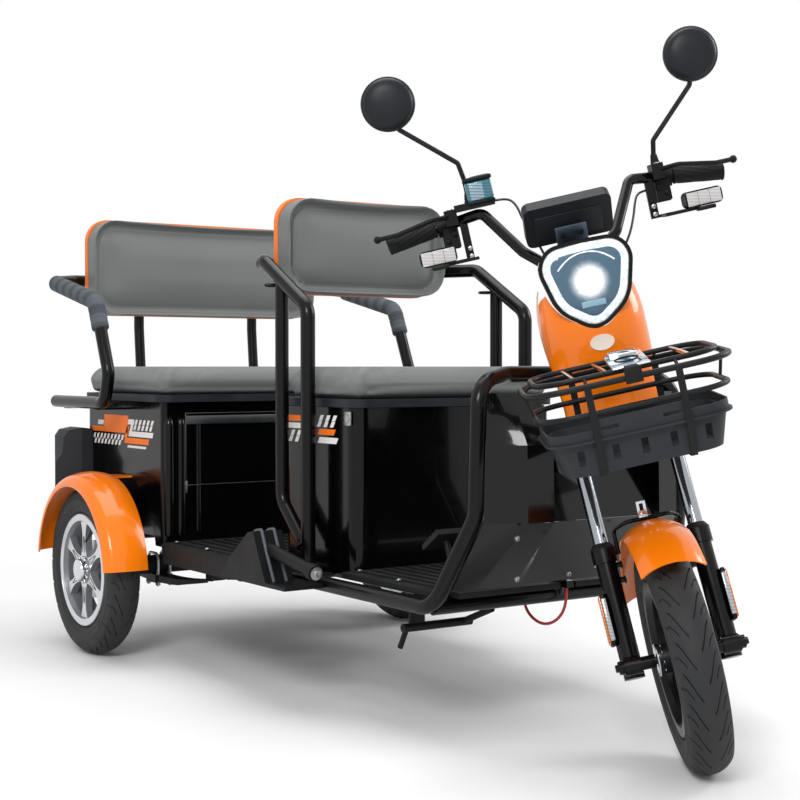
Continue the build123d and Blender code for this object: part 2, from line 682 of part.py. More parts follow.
def leg_apron():
    foot_x = FRONT_CROSS_X + 41
    outer, inner = SHIELD_CORNERS
    low = [(foot_x, 25.5 - SIDE_TUBE_Y), (foot_x + 6, -outer - 45),
           (foot_x + 10, -inner - 12), (foot_x + 10, 3 - inner)]
    high = shield_plan(SHIELD_LOW, SHIELD_FRONTS[0])
    return loft([wall_plan(low, APRON_LOW), wall_plan(high, SHIELD_LOW - SEAT_GAP)], ruled=True)


parts["leg_shield"] = leg_shield()
parts["leg_apron"] = leg_apron()


# Steering assembly, modelled straight ahead with x measured from STEER_X
HEAD_POINT = Vector(0, 0, STEER_Z)


def steer_plane(along, forward=0.0):
    """A plane square to the steering axis; its local x points forward and y to the left."""
    ahead = Vector(cos(radians(RAKE)), 0, sin(radians(RAKE)))
    return Plane(origin=HEAD_POINT + STEER_DIR * along + ahead * forward, x_dir=ahead, z_dir=STEER_DIR)


def on_axis(along, forward=0.0, y=0.0):
    point = steer_plane(along, forward).origin
    return (point.X, y, point.Z)


steered = {}
CROWN_LOW = 66.0
CROWN_HIGH = HEAD_LOW - 3
STEM_TOP = 446.0
BAR_FORWARD = 28.0
STANCHION = 14.0
FORK_LEG = 19.0
SEAL_ALONG = -117.0
LEG_BOTTOM = -356.0
FRONT_AXLE = Vector(FORK_TRAIL, 0, FRONT_AXLE_Z)
LAMP_CENTRE_Z = 892.0
LAMP_FRONT = 4.0
LAMP_DEPTH = 78.0
GUIDE_HALF = 56.0
GUIDE_TOP = 906.0


def steering_stem():
    outline = RectangleRounded(64, 2 * FORK_HALF + 44, 20)
    plate = extrude(steer_plane(CROWN_LOW) * outline, CROWN_HIGH - CROWN_LOW)
    plate = Pos(cos(radians(RAKE)) * 14, 0, sin(radians(RAKE)) * 14) * plate
    for y in (-FORK_HALF, FORK_HALF):
        plate -= rod(on_axis(CROWN_LOW - 5, FORK_OFFSET, y), on_axis(CROWN_HIGH + 5, FORK_OFFSET, y),
                     STANCHION + SEAT_GAP)
    body = plate + rod(on_axis(CROWN_LOW + 1), on_axis(STEM_TOP - 20), STEERER)
    body += rod(on_axis(HEAD_HIGH + 2), on_axis(HEAD_HIGH + 16), HEAD_TUBE)
    block = extrude(steer_plane(STEM_TOP - 40, BAR_FORWARD / 2) * RectangleRounded(66, 70, 12), 62)
    body += block
    body += rod((-127, 0, LAMP_CENTRE_Z), (LAMP_FRONT - LAMP_DEPTH - SEAT_GAP, 0, LAMP_CENTRE_Z), 13)
    guide = box_between((-182, 20, 884), (-157, GUIDE_HALF, GUIDE_TOP))
    body += both_sides(guide)
    bar_centre = on_axis(STEM_TOP, BAR_FORWARD)
    body -= across(0, bar_centre[0], bar_centre[2], BAR_TUBE + SEAT_GAP, 120)
    return body


def fork_stanchions():
    y = FORK_HALF
    low, high = SEAL_ALONG - 40, CROWN_HIGH + 4
    return both_sides(rod(on_axis(low, FORK_OFFSET, y), on_axis(high, FORK_OFFSET, y), STANCHION))


def fork_legs():
    y = FORK_HALF
    leg = rod(on_axis(LEG_BOTTOM, FORK_OFFSET, y), on_axis(SEAL_ALONG, FORK_OFFSET, y), FORK_LEG)
    leg += rod(on_axis(SEAL_ALONG - 26, FORK_OFFSET, y), on_axis(SEAL_ALONG, FORK_OFFSET, y), FORK_LEG + 4)
    lug = rod(on_axis(LEG_BOTTOM + 18, FORK_OFFSET, y), (FRONT_AXLE.X, y, FRONT_AXLE.Z), 13)
    leg += lug + across(y, FRONT_AXLE.X, FRONT_AXLE.Z, 17, 30)
    leg -= rod(on_axis(SEAL_ALONG - 41, FORK_OFFSET, y), on_axis(SEAL_ALONG + 5, FORK_OFFSET, y),
               STANCHION + SEAT_GAP)
    leg -= across(y, FRONT_AXLE.X, FRONT_AXLE.Z, FRONT_SHAFT + SEAT_GAP, 60)
    return both_sides(leg)


def front_axle():
    body = across(0, FRONT_AXLE.X, FRONT_AXLE.Z, FRONT_SHAFT, 2 * FORK_HALF + 44)
    gap_start = FRONT_HUB_LENGTH / 2 + 2
    gap_end = FORK_HALF - 15 - SEAT_GAP
    for side in (-1, 1):
        middle = side * (gap_start + gap_end) / 2
        spacer = across(middle, FRONT_AXLE.X, FRONT_AXLE.Z, 12, gap_end - gap_start)
        nut = across(side * (FORK_HALF + 15 + SEAT_GAP + 5), FRONT_AXLE.X, FRONT_AXLE.Z, 12, 10)
        body += spacer + nut
    return body


GRIP_OUTER = (-297.0, 350.0, 1039.0)
GRIP_INNER = (-302.0, 240.0, 1055.0)
GRIP_RADIUS = 17.0


def handlebar(radius):
    clamp_x, _, clamp_z = on_axis(STEM_TOP, BAR_FORWARD)
    half = [GRIP_OUTER, GRIP_INNER, (-250, 152, 1064), (-172, 94, 970), (clamp_x, 46, clamp_z)]
    points = [(x, -y, z) for x, y, z in half] + list(reversed(half))
    return tube(points, radius, 28)


def grips():
    start = between(GRIP_OUTER, GRIP_INNER, -0.02)
    sleeve = rod(start, between(GRIP_OUTER, GRIP_INNER, 0.92), GRIP_RADIUS)
    return both_sides(sleeve) - handlebar(BAR_TUBE + SEAT_GAP)


def bar_controls():
    """Switch housings round the bar, brake lever brackets and levers, and the hydraulic reservoir."""
    housing = rod(between(GRIP_OUTER, GRIP_INNER, 0.94), between(GRIP_OUTER, GRIP_INNER, 1.2), 21)
    housing += box_between((-312, 206, 1008), (-278, 236, 1050))
    housing += box_between((-304, 202, 1052), (-252, 226, 1084))
    lever = tube([(-262, 212, 1070), (-236, 252, 1072), (-250, 330, 1058), (-270, 370, 1058)], 5, 14)
    housing += lever + Pos(-270, 370, 1058) * Sphere(8)
    body = both_sides(housing)
    body += box_between((-278, -204, 1076), (-238, -122, 1090))
    body += Pos(-258, -142, 1108) * Cylinder(21, 46)
    return body - handlebar(BAR_TUBE + SEAT_GAP)


MIRROR_RADIUS = 54.0
MIRROR_ROUTES = {
    "right": [
        (-262, -172, 1090.3), (-262, -172, 1136), (-250, -178, 1172),
        (-226, -280, 1262), (-212, -290, 1314)],
    "left": [
        (-270, 214, 1084.3), (-266, 214, 1106), (-252, 216, 1130), (-227, 305, 1220), (-212, 316, 1278)],
}


def mirrors():
    body = Part()
    for points in MIRROR_ROUTES.values():
        centre = points[-1]
        head = Pos(*centre) * Rot(0, 90, 0) * Cylinder(MIRROR_RADIUS, 12)
        head = fillet(head.edges().group_by(Axis.X)[-1], 5)
        body += head + tube(points, 5, 9)
    return body


def display():
    slab = Box(24, 172, 92)
    slab = fillet(slab.edges().filter_by(Axis.X), 14)
    body = Pos(-123, 0, 1016) * Rot(0, 38, 0) * slab
    foot = STEM_TOP + 22 + SEAT_GAP
    points = [on_axis(foot, BAR_FORWARD / 2), on_axis(foot + 18, BAR_FORWARD / 2), (-131, 0, 1006)]
    return body + tube(points, 8, 10)


def lamp_outline(inset):
    rounds = [(-43, 32, 46), (43, 32, 46), (0, -42, 46), (0, 0, 80)]
    corners = Sketch() + [Pos(y, z) * Circle(r - inset) for y, z, r in rounds]
    return make_hull(corners.edges())


def headlight():
    back = extrude(Plane.YZ.offset(LAMP_FRONT - 12) * (Pos(0, LAMP_CENTRE_Z) * lamp_outline(0)), 12)
    cup = loft([Plane.YZ.offset(LAMP_FRONT - 12) * (Pos(0, LAMP_CENTRE_Z) * lamp_outline(2)),
                Plane.YZ.offset(LAMP_FRONT - LAMP_DEPTH) * (Pos(0, LAMP_CENTRE_Z) * lamp_outline(24))])
    body = back + cup
    seat = extrude(Plane.YZ.offset(LAMP_FRONT - 8) * (Pos(0, LAMP_CENTRE_Z) * lamp_outline(7)), 10)
    steered["headlight_housing"] = body - seat
    lens_outline = Pos(0, LAMP_CENTRE_Z) * lamp_outline(7.5)
    lens = extrude(Plane.YZ.offset(LAMP_FRONT - 8 + SEAT_GAP) * lens_outline, 9)
    steered["headlight_lens"] = lens


def cowl_plan(z, front, side_x, half):
    arc = ThreePointArc((side_x + 30, -half), (front, 0), (side_x + 30, half))
    outline = arc + Polyline((side_x + 30, half), (side_x, half), (side_x, -half), (side_x + 30, -half))
    return Plane.XY.offset(z) * make_face(outline)


COWL_ROWS = [(640, 12, -50, 92), (770, 14, -100, 100), (850, 4, -132, 97), (888, -16, -144, 86)]


def front_cowl():
    outer = loft([cowl_plan(*row) for row in COWL_ROWS])
    inner_rows = [(z, front - 3.5, side_x - 20, half - 3.5) for z, front, side_x, half in COWL_ROWS]
    inner_rows[0] = (635,) + inner_rows[0][1:]
    inner_rows[-1] = (893,) + inner_rows[-1][1:]
    body = outer - loft([cowl_plan(*row) for row in inner_rows])
    hole = extrude(Plane.YZ.offset(LAMP_FRONT - 90) * (Pos(0, LAMP_CENTRE_Z) * lamp_outline(-0.5)), 100)
    return body - hole


BASKET_BACK = 70.0
BASKET_FRONT = 306.0
BASKET_HALF = 178.0
LOOP_Z = 732.0
LOOP_WIRE = 5.5
INNER_WIRE = 5.0
TRAY_RIM_Z = 642.0
TRAY_FLOOR_Z = 580.0
LIP_OUT = 4.0
STRAP = 3.0
STRAP_Y = 78.0


def loop(z, half, inset, corner, radius):
    centre = (BASKET_BACK + BASKET_FRONT) / 2
    depth = BASKET_FRONT - BASKET_BACK - 2 * inset
    path = Plane.XY.offset(z) * (Pos(centre, 0) * RectangleRounded(depth, 2 * half, corner))
    wire = path.wire()
    section = Plane(origin=wire @ 0, z_dir=wire % 0) * Circle(radius)
    return sweep(section, path=wire)


def front_strap(y):
    """A flat strap from the main loop down over the tray's front and under its floor."""
    near = BASKET_FRONT + LIP_OUT + SEAT_GAP
    under = TRAY_FLOOR_Z - SEAT_GAP
    rear = BASKET_FRONT - 110
    outline = Polyline(
        (near, LOOP_Z + 2), (near, TRAY_RIM_Z - 8), (BASKET_FRONT - 18, under), (rear, under),
        (rear, under - STRAP), (BASKET_FRONT - 16, under - STRAP), (near + STRAP, TRAY_RIM_Z - 9),
        (near + STRAP, LOOP_Z + 2), close=True)
    return Pos(0, y + 6, 0) * extrude(Plane.XZ * make_face(outline), 12)


def basket_wire():
    middle = (BASKET_FRONT + BASKET_BACK) / 2
    inner_half = BASKET_HALF - 20
    inner_z = LOOP_Z + 13
    low_z = LOOP_Z - 47
    body = loop(LOOP_Z, BASKET_HALF, 0, 70, LOOP_WIRE) + loop(inner_z, inner_half, 18, 58, INNER_WIRE)
    body += loop(low_z, BASKET_HALF - 12, 0, 66, INNER_WIRE)
    back = BASKET_BACK - LIP_OUT - SEAT_GAP
    for y in (-STRAP_Y, STRAP_Y):
        body += front_strap(y)
        body += box_between((back - STRAP, y - 6, TRAY_RIM_Z - 20), (back, y + 6, LOOP_Z + 2))
        for x, step in ((BASKET_FRONT, 1), (BASKET_BACK, -1)):
            body += rod((x, y, LOOP_Z), (x - step * 18, y, inner_z), 3)
    for sign in (-1, 1):
        body += rod((middle, sign * BASKET_HALF, LOOP_Z), (middle, sign * inner_half, inner_z), 3)
        top = (middle, sign * (BASKET_HALF - 1), LOOP_Z)
        body += rod(top, (middle, sign * (BASKET_HALF - 12), low_z), 3)
    body += box_between((back - STRAP - 2, -STRAP_Y - 6, TRAY_RIM_Z - 20), (back, STRAP_Y + 6, TRAY_RIM_Z))
    for y in (-45, 45):
        foot = on_axis(CROWN_HIGH + SEAT_GAP, FORK_OFFSET, y)
        bend = on_axis(CROWN_HIGH + 12, FORK_OFFSET, y)
        body += tube([foot, bend, (back - STRAP, y, TRAY_RIM_Z - 10)], 5, 10)
    return body


def tray_solid(low, high, shrink):
    centre = (BASKET_BACK + BASKET_FRONT) / 2
    depth = BASKET_FRONT - BASKET_BACK
    faces = []
    for z, dx, half, corner in [(low, 40, 138, 45), (high, 14, 154, 50)]:
        length = depth - dx - 2 * shrink
        plan = Pos(centre, 0) * RectangleRounded(length, 2 * (half - shrink), corner - shrink)
        faces.append(Plane.XY.offset(z) * plan)
    return loft(faces)


def basket_tray():
    """A bowl with slots, a lip, and a collar that stands higher between the front straps."""
    centre = (BASKET_BACK + BASKET_FRONT) / 2
    depth = BASKET_FRONT - BASKET_BACK
    body = tray_solid(TRAY_FLOOR_Z, TRAY_RIM_Z, 0)
    lip = Pos(centre, 0) * RectangleRounded(depth + 2 * LIP_OUT, 2 * 163, 58)
    body += extrude(Plane.XY.offset(TRAY_RIM_Z - 4) * lip, 4)
    collar = Pos(centre, 0) * RectangleRounded(depth - 4, 2 * 158, 54)
    hollow = Pos(centre, 0) * RectangleRounded(depth - 4 - 2 * WALL, 2 * (158 - WALL), 54 - WALL)
    body += extrude(Plane.XY.offset(TRAY_RIM_Z - 4) * collar, 20)
    body -= extrude(Plane.XY.offset(TRAY_RIM_Z) * hollow, 20)
    body -= tray_solid(TRAY_FLOOR_Z + WALL, TRAY_RIM_Z + 1, WALL)
    front = BASKET_FRONT - 2
    plate = box_between((front - WALL, -84, TRAY_RIM_Z), (front, 84, TRAY_RIM_Z + 32))
    for y in (-54, 54):
        plate -= box_between((front - 5, y - 16, TRAY_RIM_Z + 12), (front + 5, y + 16, TRAY_RIM_Z + 19))
        body -= box_between((front - 5, y - 16, TRAY_RIM_Z + 12), (front + 5, y + 16, TRAY_RIM_Z + 19))
    body += plate
    for y in (-110, -50, 0, 50, 110):
        body -= box_between((centre, y - 6, TRAY_FLOOR_Z + 18), (BASKET_FRONT + 20, y + 6, TRAY_RIM_Z - 16))
    return body


FRONT_FENDER_RADIUS = 247.0


def front_fender():
    """An arched shell whose sides turn down beside the tyre."""
    half = 57.0
    drop = 26.0
    r = FRONT_FENDER_RADIUS
    outer = ThreePointArc((-half, r - drop), (0, r), (half, r - drop))
    inner = ThreePointArc((half - 3, r - drop - 1), (0, r - 3), (3 - half, r - drop - 1))
    outline = outer + Line(outer @ 1, inner @ 0) + inner + Line(inner @ 1, outer @ 0)
    arch = revolve(make_face(Plane.YZ * outline), Axis.Y, 110)
    arch = arch.rotate(Axis.Y, -75)
    return Pos(*FRONT_AXLE) * arch


BRACE_RADIUS = 4.0
BRACE_ANGLE = 14.0


def fender_brace():
    """A bent bar from one fork collar over the fender to the other."""
    y = FORK_HALF - FORK_LEG - 4 - BRACE_RADIUS - SEAT_GAP
    foot = on_axis(SEAL_ALONG - 13, FORK_OFFSET, y)
    shoulder = on_axis(SEAL_ALONG + 30, FORK_OFFSET + 10, y)
    reach = FRONT_FENDER_RADIUS + BRACE_RADIUS + SEAT_GAP
    lean_back = radians(BRACE_ANGLE)
    top = (FRONT_AXLE.X - reach * sin(lean_back), 40, FRONT_AXLE.Z + reach * cos(lean_back))
    half = [foot, shoulder, top]
    return tube([(a, -b, c) for a, b, c in half] + list(reversed(half)), BRACE_RADIUS, 14)


AUX_LAMP = (-118.0, 261.0, 997.0)


def aux_lamps():
    """Two small lamps on angle brackets that hang from the bar beside the switches."""
    x, y, z = AUX_LAMP
    lamp = Pos(x, y, z) * Box(44, 72, 32)
    lamp = fillet(lamp.edges().filter_by(Axis.X), 10)
    shelf_z = z - 17.5
    arm = box_between((-276, 184, shelf_z - 4), (x + 15, y - 8, shelf_z + 2))
    arm -= box_between((-266, 184, shelf_z - 5), (x - 30, y - 40, shelf_z + 5))
    hanger = box_between((-276, 184, shelf_z - 4), (-266, 200, 1062))
    return both_sides(lamp + arm + hanger) - handlebar(BAR_TUBE + SEAT_GAP)


steered["steering_stem"] = steering_stem()
steered["fork_stanchions"] = fork_stanchions()
steered["fork_legs"] = fork_legs()
steered["front_axle"] = front_axle()
steered["handlebar"] = handlebar(BAR_TUBE)
steered["grips"] = grips()
steered["bar_controls"] = bar_controls()
steered["mirrors"] = mirrors()
steered["display"] = display()
headlight()
steered["front_cowl"] = front_cowl()
steered["basket_wire"] = basket_wire()
steered["basket_tray"] = basket_tray()
steered["front_fender"] = front_fender()
steered["fender_brace"] = fender_brace()
steered["aux_lamps"] = aux_lamps()
steered["front_tyre"] = Pos(*FRONT_AXLE) * rear_tyre
steered["front_rim"] = Pos(*FRONT_AXLE) * front_rim()


# Cords
HOSE_RADIUS = 2.5
CABLE_RADIUS = 3.0


def cord(name, points, radius):
    """Straight runs joined by arcs as large as the runs allow."""
    radii = []
    for a, b, c in zip(points, points[1:], points[2:]):
        before, after = Vector(*b) - Vector(*a), Vector(*c) - Vector(*b)
        half_turn = radians(before.get_angle(after)) / 2
        radii.append(0.45 * min(before.length, after.length) / tan(half_turn))
    path = FilletPolyline(*points, radius=radii)
    section = Plane(origin=path @ 0, z_dir=path % 0) * Circle(radius)
    solid = sweep(section, path=path)
    print(name, [round(r) for r in radii], round(solid.volume / (pi * radius ** 2 * path.length), 4))
    return solid


HOSE_ROUTE = [
    (-258, -122, 1083), (-258, -96, 1083), (-234, -82, 1066), (-208, -78, 1034), (-188, -68, 1000),
    (-174, -56, 966), (-170, -50, 932), (-170, -50, GUIDE_TOP)]
BAR_CABLE_ROUTE = [
    (-295, 206, 1036), (-295, 180, 1036), (-272, 164, 1030), (-240, 152, 1015), (-212, 140, 990),
    (-186, 122, 958), (-173, 98, 928), (-170, 78, 896), (-170, GUIDE_HALF, 896)]
FLOOR_CABLE_ROUTE = [
    (FRONT_CROSS_X - 64, -34, DECK_BOTTOM), (FRONT_CROSS_X - 64, -34, 247),
    (FRONT_CROSS_X - 48, -28, 214), (FRONT_CROSS_X - 15, -18, 200), (FRONT_CROSS_X + 16, -8, 214),
    (FRONT_CROSS_X + 33, 0, 246), (FRONT_CROSS_X + 33, 0, GLAND_Z)]
steered["bar_hose"] = cord("bar_hose", HOSE_ROUTE, HOSE_RADIUS)
steered["bar_cable"] = cord("bar_cable", BAR_CABLE_ROUTE, HOSE_RADIUS)
parts["floor_cable"] = cord("floor_cable", FLOOR_CABLE_ROUTE, CABLE_RADIUS)

for name, shape in steered.items():
    parts[name] = (Pos(STEER_X, 0, 0) * shape).rotate(STEER_AXIS, PARKED_STEER)

os.makedirs("parts", exist_ok=True)
for name, shape in parts.items():
    export_step(Pos(-AXLE_TO_MIDDLE, 0, 0) * shape, "parts/" + name + ".step")
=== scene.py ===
import bpy
import numpy as np
from math import cos, exp, pi, radians, sin, sqrt
from mathutils import Matrix, Vector


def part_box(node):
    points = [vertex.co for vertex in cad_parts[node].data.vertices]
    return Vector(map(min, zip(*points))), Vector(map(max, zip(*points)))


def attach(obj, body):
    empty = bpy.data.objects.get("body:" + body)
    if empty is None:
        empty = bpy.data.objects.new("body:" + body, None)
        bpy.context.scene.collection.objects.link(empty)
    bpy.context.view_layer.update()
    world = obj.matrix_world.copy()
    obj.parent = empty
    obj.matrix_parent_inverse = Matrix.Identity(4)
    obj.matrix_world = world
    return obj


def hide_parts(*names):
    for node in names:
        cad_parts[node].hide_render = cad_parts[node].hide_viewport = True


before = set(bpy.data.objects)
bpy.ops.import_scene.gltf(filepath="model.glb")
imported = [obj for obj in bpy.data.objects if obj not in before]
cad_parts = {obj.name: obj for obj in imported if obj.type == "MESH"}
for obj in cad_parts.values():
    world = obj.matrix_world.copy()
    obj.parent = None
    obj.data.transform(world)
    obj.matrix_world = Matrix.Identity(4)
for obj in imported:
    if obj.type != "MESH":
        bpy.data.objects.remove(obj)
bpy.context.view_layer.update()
scene = bpy.context.scene


# Camera: where the photographer stood, ahead of the right front corner, at about
# waist height, with a short telephoto lens.
camera_data = bpy.data.cameras.new("camera")
camera_data.lens = 67.455
camera_data.sensor_width = 36
camera = bpy.data.objects.new("camera", camera_data)
scene.collection.objects.link(camera)
turn_in = radians(34.246)
tilt = radians(-1.28)
view = Vector((-cos(turn_in) * cos(tilt), sin(turn_in) * cos(tilt), sin(tilt)))
camera.location = (2.832, -1.9533, 0.7220)
camera.rotation_euler = view.to_track_quat("-Z", "Y").to_euler()
scene.camera = camera
scene.view_settings.view_transform = "Standard"


# Studio: a large matt sheet of pale paper under the tricycle, a white surround, and
# three broad soft lamps at a plain level.
def linear(hex_colour):
    """Linear RGBA from an sRGB hex colour."""
    parts = [int(hex_colour[i:i + 2], 16) / 255 for i in (1, 3, 5)]
    return [c / 12.92 if c <= 0.04045 else ((c + 0.055) / 1.055) ** 2.4 for c in parts] + [1.0]


def add_node(near, kind, values=None, links=None, into=None, **settings):
    """Adds one node beside another, sets it, links its inputs, and may link its first output."""
    tree = near.id_data
    node = tree.nodes.new(kind)
    for key, value in settings.items():
        setattr(node, key, value)
    for socket, value in (values or {}).items():
        node.inputs[socket].default_value = value
    for socket, source in (links or {}).items():
        tree.links.new(source, node.inputs[socket])
    if into:
        tree.links.new(node.outputs[0], into)
    return node


def new_finish(name, **values):
    """A material with its plain shader set; underscores in a name stand for spaces."""
    material = bpy.data.materials.new(name)
    material.use_nodes = True
    shader = material.node_tree.nodes["Principled BSDF"]
    for socket, value in values.items():
        shader.inputs[socket.replace("_", " ")].default_value = value
    return material, shader


def own_place(near):
    """The piece's own coordinates."""
    return add_node(near, "ShaderNodeTexCoord").outputs["Object"]


def maths(near, operation, first, second):
    """One sum of two sockets, or of a socket and a number."""
    node = add_node(near, "ShaderNodeMath", links={0: first}, operation=operation)
    if isinstance(second, float):
        node.inputs[1].default_value = second
    else:
        near.id_data.links.new(second, node.inputs[1])
    return node.outputs[0]


def seen_directly(near):
    """1 for rays from the camera, a mirror or a lens, 0 for rays that carry light."""
    path = add_node(near, "ShaderNodeLightPath").outputs
    seen = maths(near, "MAXIMUM", path["Is Camera Ray"], path["Is Glossy Ray"])
    return maths(near, "MAXIMUM", seen, path["Is Transmission Ray"])


# matt paper near the tricycle, which fades to plain white further out, where it is seen
studio_paper, shader = new_finish("studio_paper", Base_Color=linear("#F6F6F6"), Roughness=0.9)
far = add_node(shader, "ShaderNodeVectorMath", links={0: own_place(shader)}, operation="LENGTH")
fade = add_node(shader, "ShaderNodeMapRange", {"From Min": 1.3, "From Max": 2.6}, {"Value": far.outputs["Value"]})
share = maths(shader, "MULTIPLY", fade.outputs[0], seen_directly(shader))
white = add_node(shader, "ShaderNodeEmission", {"Color": (1, 1, 1, 1), "Strength": 1.0})
paper = add_node(shader, "ShaderNodeMixShader", links={0: share, 1: shader.outputs[0], 2: white.outputs[0]})
add_node(shader, "ShaderNodeOutputMaterial", links={"Surface": paper.outputs[0]}, is_active_output=True)
bpy.ops.mesh.primitive_plane_add(size=60, location=(0, 0, -0.0005))
floor = bpy.context.object
floor.name = "studio_floor"
floor.data.materials.append(studio_paper)

surround = bpy.data.worlds.new("white_surround")
scene.world = surround
surround.use_nodes = True
surround.node_tree.nodes.clear()
sky_out = surround.node_tree.nodes.new("ShaderNodeOutputWorld")
dim = add_node(sky_out, "ShaderNodeBackground", {"Color": (1, 1, 1, 1), "Strength": 0.55})
bright = add_node(sky_out, "ShaderNodeBackground", {"Color": (1, 1, 1, 1), "Strength": 1.0})
add_node(sky_out, "ShaderNodeMixShader",
         links={0: seen_directly(sky_out), 1: dim.outputs[0], 2: bright.outputs[0]}, into=sky_out.inputs["Surface"])
for name, place, size, power in [
        ("key_lamp", (3.2, -3.4, 3.2), 1.5, 130), ("fill_lamp", (1.4, 3.8, 2.8), 1.8, 75),
        ("top_lamp", (-0.4, 0.0, 3.6), 2.4, 60)]:
    lamp_data = bpy.data.lights.new(name, "AREA")
    lamp_data.size = size
    lamp_data.energy = power
    lamp = bpy.data.objects.new(name, lamp_data)
    lamp.location = place
    lamp.rotation_euler = (Vector((0, 0, 0.6)) - Vector(place)).to_track_quat("-Z", "Y").to_euler()
    scene.collection.objects.link(lamp)


# Hose and leads: the brake hose and the switch lead come down from the handlebar to a
# guide on the stem, and the red battery lead hangs in a loop under the front floor. All
# are round and flexible, in extruded PVC. The steering stands turned to the right.
rake, parked_turn = radians(21.5), radians(-37)
steer_point = Vector((0.7428, 0, 0.5))
steer_axis = Vector((-sin(rake), 0, cos(rake)))
parked = (Matrix.Translation(steer_point) @ Matrix.Rotation(parked_turn, 4, steer_axis)
          @ Matrix.Translation(-steer_point))


def ahead(x, y, z):
    """A place on the unturned steering, in millimetres from under its pivot, in metres."""
    return Vector((x / 1000 + steer_point.x, y / 1000, z / 1000))


def noise(near, scale, detail=2, roughness=0.5):
    """A noise on the piece's own coordinates."""
    values = {"Scale": scale, "Detail": detail, "Roughness": roughness}
    return add_node(near, "ShaderNodeTexNoise", values, {"Vector": own_place(near)}).outputs[0]


def relief(shader, height, strength, distance, under=None):
    """Bump on the shader, and over another bump where there is one."""
    links = {"Height": height, "Normal": under} if under else {"Height": height}
    return add_node(shader, "ShaderNodeBump", {"Strength": strength, "Distance": distance}, links,
                    shader.inputs["Normal"]).outputs[0]


def smooth_line(points, radius=0.0, bevel=3, steps=8, closed=False, order=3):
    """A curve along a smooth line, and round about it where it has a radius."""
    curve = bpy.data.curves.new("line", "CURVE")
    curve.dimensions = "3D"
    curve.bevel_depth = radius
    curve.bevel_resolution = bevel
    curve.use_fill_caps = True
    spline = curve.splines.new("NURBS")
    spline.points.add(len(points) - 1)
    for point, place in zip(spline.points, points):
        point.co = (*place, 1)
    spline.use_cyclic_u = closed
    spline.use_endpoint_u = not closed
    spline.order_u = order
    spline.resolution_u = steps
    return bpy.data.objects.new("line", curve)


def pvc_sheath(name, colour):
    # extruded PVC: smooth, a little soft in its gloss, with faint drawing waves along it
    material, shader = new_finish(name, Base_Color=linear(colour), Roughness=0.42, Coat_Weight=0.15)
    relief(shader, noise(shader, 160), 0.2, 0.0004)
    return material


def soft_lead(name, node, body, material, points, thickness):
    """A cord that hangs as drawn: a swept curve that stands for its CAD node."""
    lead = smooth_line(points, thickness / 2, bevel=5, steps=12)
    scene.collection.objects.link(lead)
    lead.name = lead.data.name = name
    lead.data.materials.append(material)
    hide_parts(node)
    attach(lead, body)


black_sheath = pvc_sheath("black_pvc_sheath", "#151516")
red_sheath = pvc_sheath("red_pvc_sheath", "#9C1A14")
hose_route = [parked @ ahead(*p) for p in [
    (-258, -122, 1083), (-258, -96, 1083), (-234, -82, 1066), (-208, -78, 1034), (-188, -68, 1000),
    (-174, -56, 966), (-170, -50, 932), (-170, -50, 906)]]
lead_route = [parked @ ahead(*p) for p in [
    (-295, 206, 1036), (-295, 180, 1036), (-272, 164, 1030), (-240, 152, 1015), (-212, 140, 990),
    (-186, 122, 958), (-173, 98, 928), (-170, 78, 896), (-170, 56, 896)]]
battery_route = [Vector((x / 1000, y / 1000, z / 1000)) for x, y, z in [
    (456.8, -34, 281.3), (456.8, -34, 247), (472.8, -28, 214), (505.8, -18, 200), (536.8, -8, 214),
    (553.8, 0, 246), (553.8, 0, 282)]]
soft_lead("brake_hose", "bar_hose", "steering", black_sheath, hose_route, 0.005)
soft_lead("switch_lead", "bar_cable", "steering", black_sheath, lead_route, 0.005)
soft_lead("battery_lead", "floor_cable", "chassis", red_sheath, battery_route, 0.006)


# Frame: bent steel tubes, welded and then stove-enamelled gloss black all over, the
# chassis with its leg guard hoop, the driver's guards and the passenger seat's frame.
def roughen(shader, share, low, high, start=0.3, end=0.7):
    """Runs the roughness from low to high."""
    add_node(shader, "ShaderNodeMapRange", {"From Min": start, "From Max": end, "To Min": low, "To Max": high},
             {"Value": share}, shader.inputs["Roughness"])


def enamel(name, colour, gloss):
    # stoved enamel on steel: deep gloss with a faint orange peel about 2 mm across, and
    # dust that dulls it in patches a hand wide
    material, shader = new_finish(name, Base_Color=linear(colour), Specular_IOR_Level=0.16,
                                  Coat_Weight=0.12, Coat_Roughness=0.05)
    relief(shader, noise(shader, 420, 1.5), 0.12, 0.0003)
    roughen(shader, noise(shader, 9, 5, 0.65), gloss, gloss + 0.12, 0.35)
    return material


def dress(material, *nodes):
    """Gives CAD nodes their material."""
    for node in nodes:
        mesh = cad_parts[node].data
        mesh.materials.clear()
        mesh.materials.append(material)


black_enamel = enamel("black_stoved_enamel", "#070708", 0.2)
dress(black_enamel, "chassis_frame", "leg_guard_hoop", "seat_guards", "rear_seat_frame")


def select_only(*pieces):
    """Selects these pieces and nothing else, and makes the first one active."""
    bpy.ops.object.select_all(action="DESELECT")
    for piece in pieces:
        piece.select_set(True)
    bpy.context.view_layer.objects.active = pieces[0]


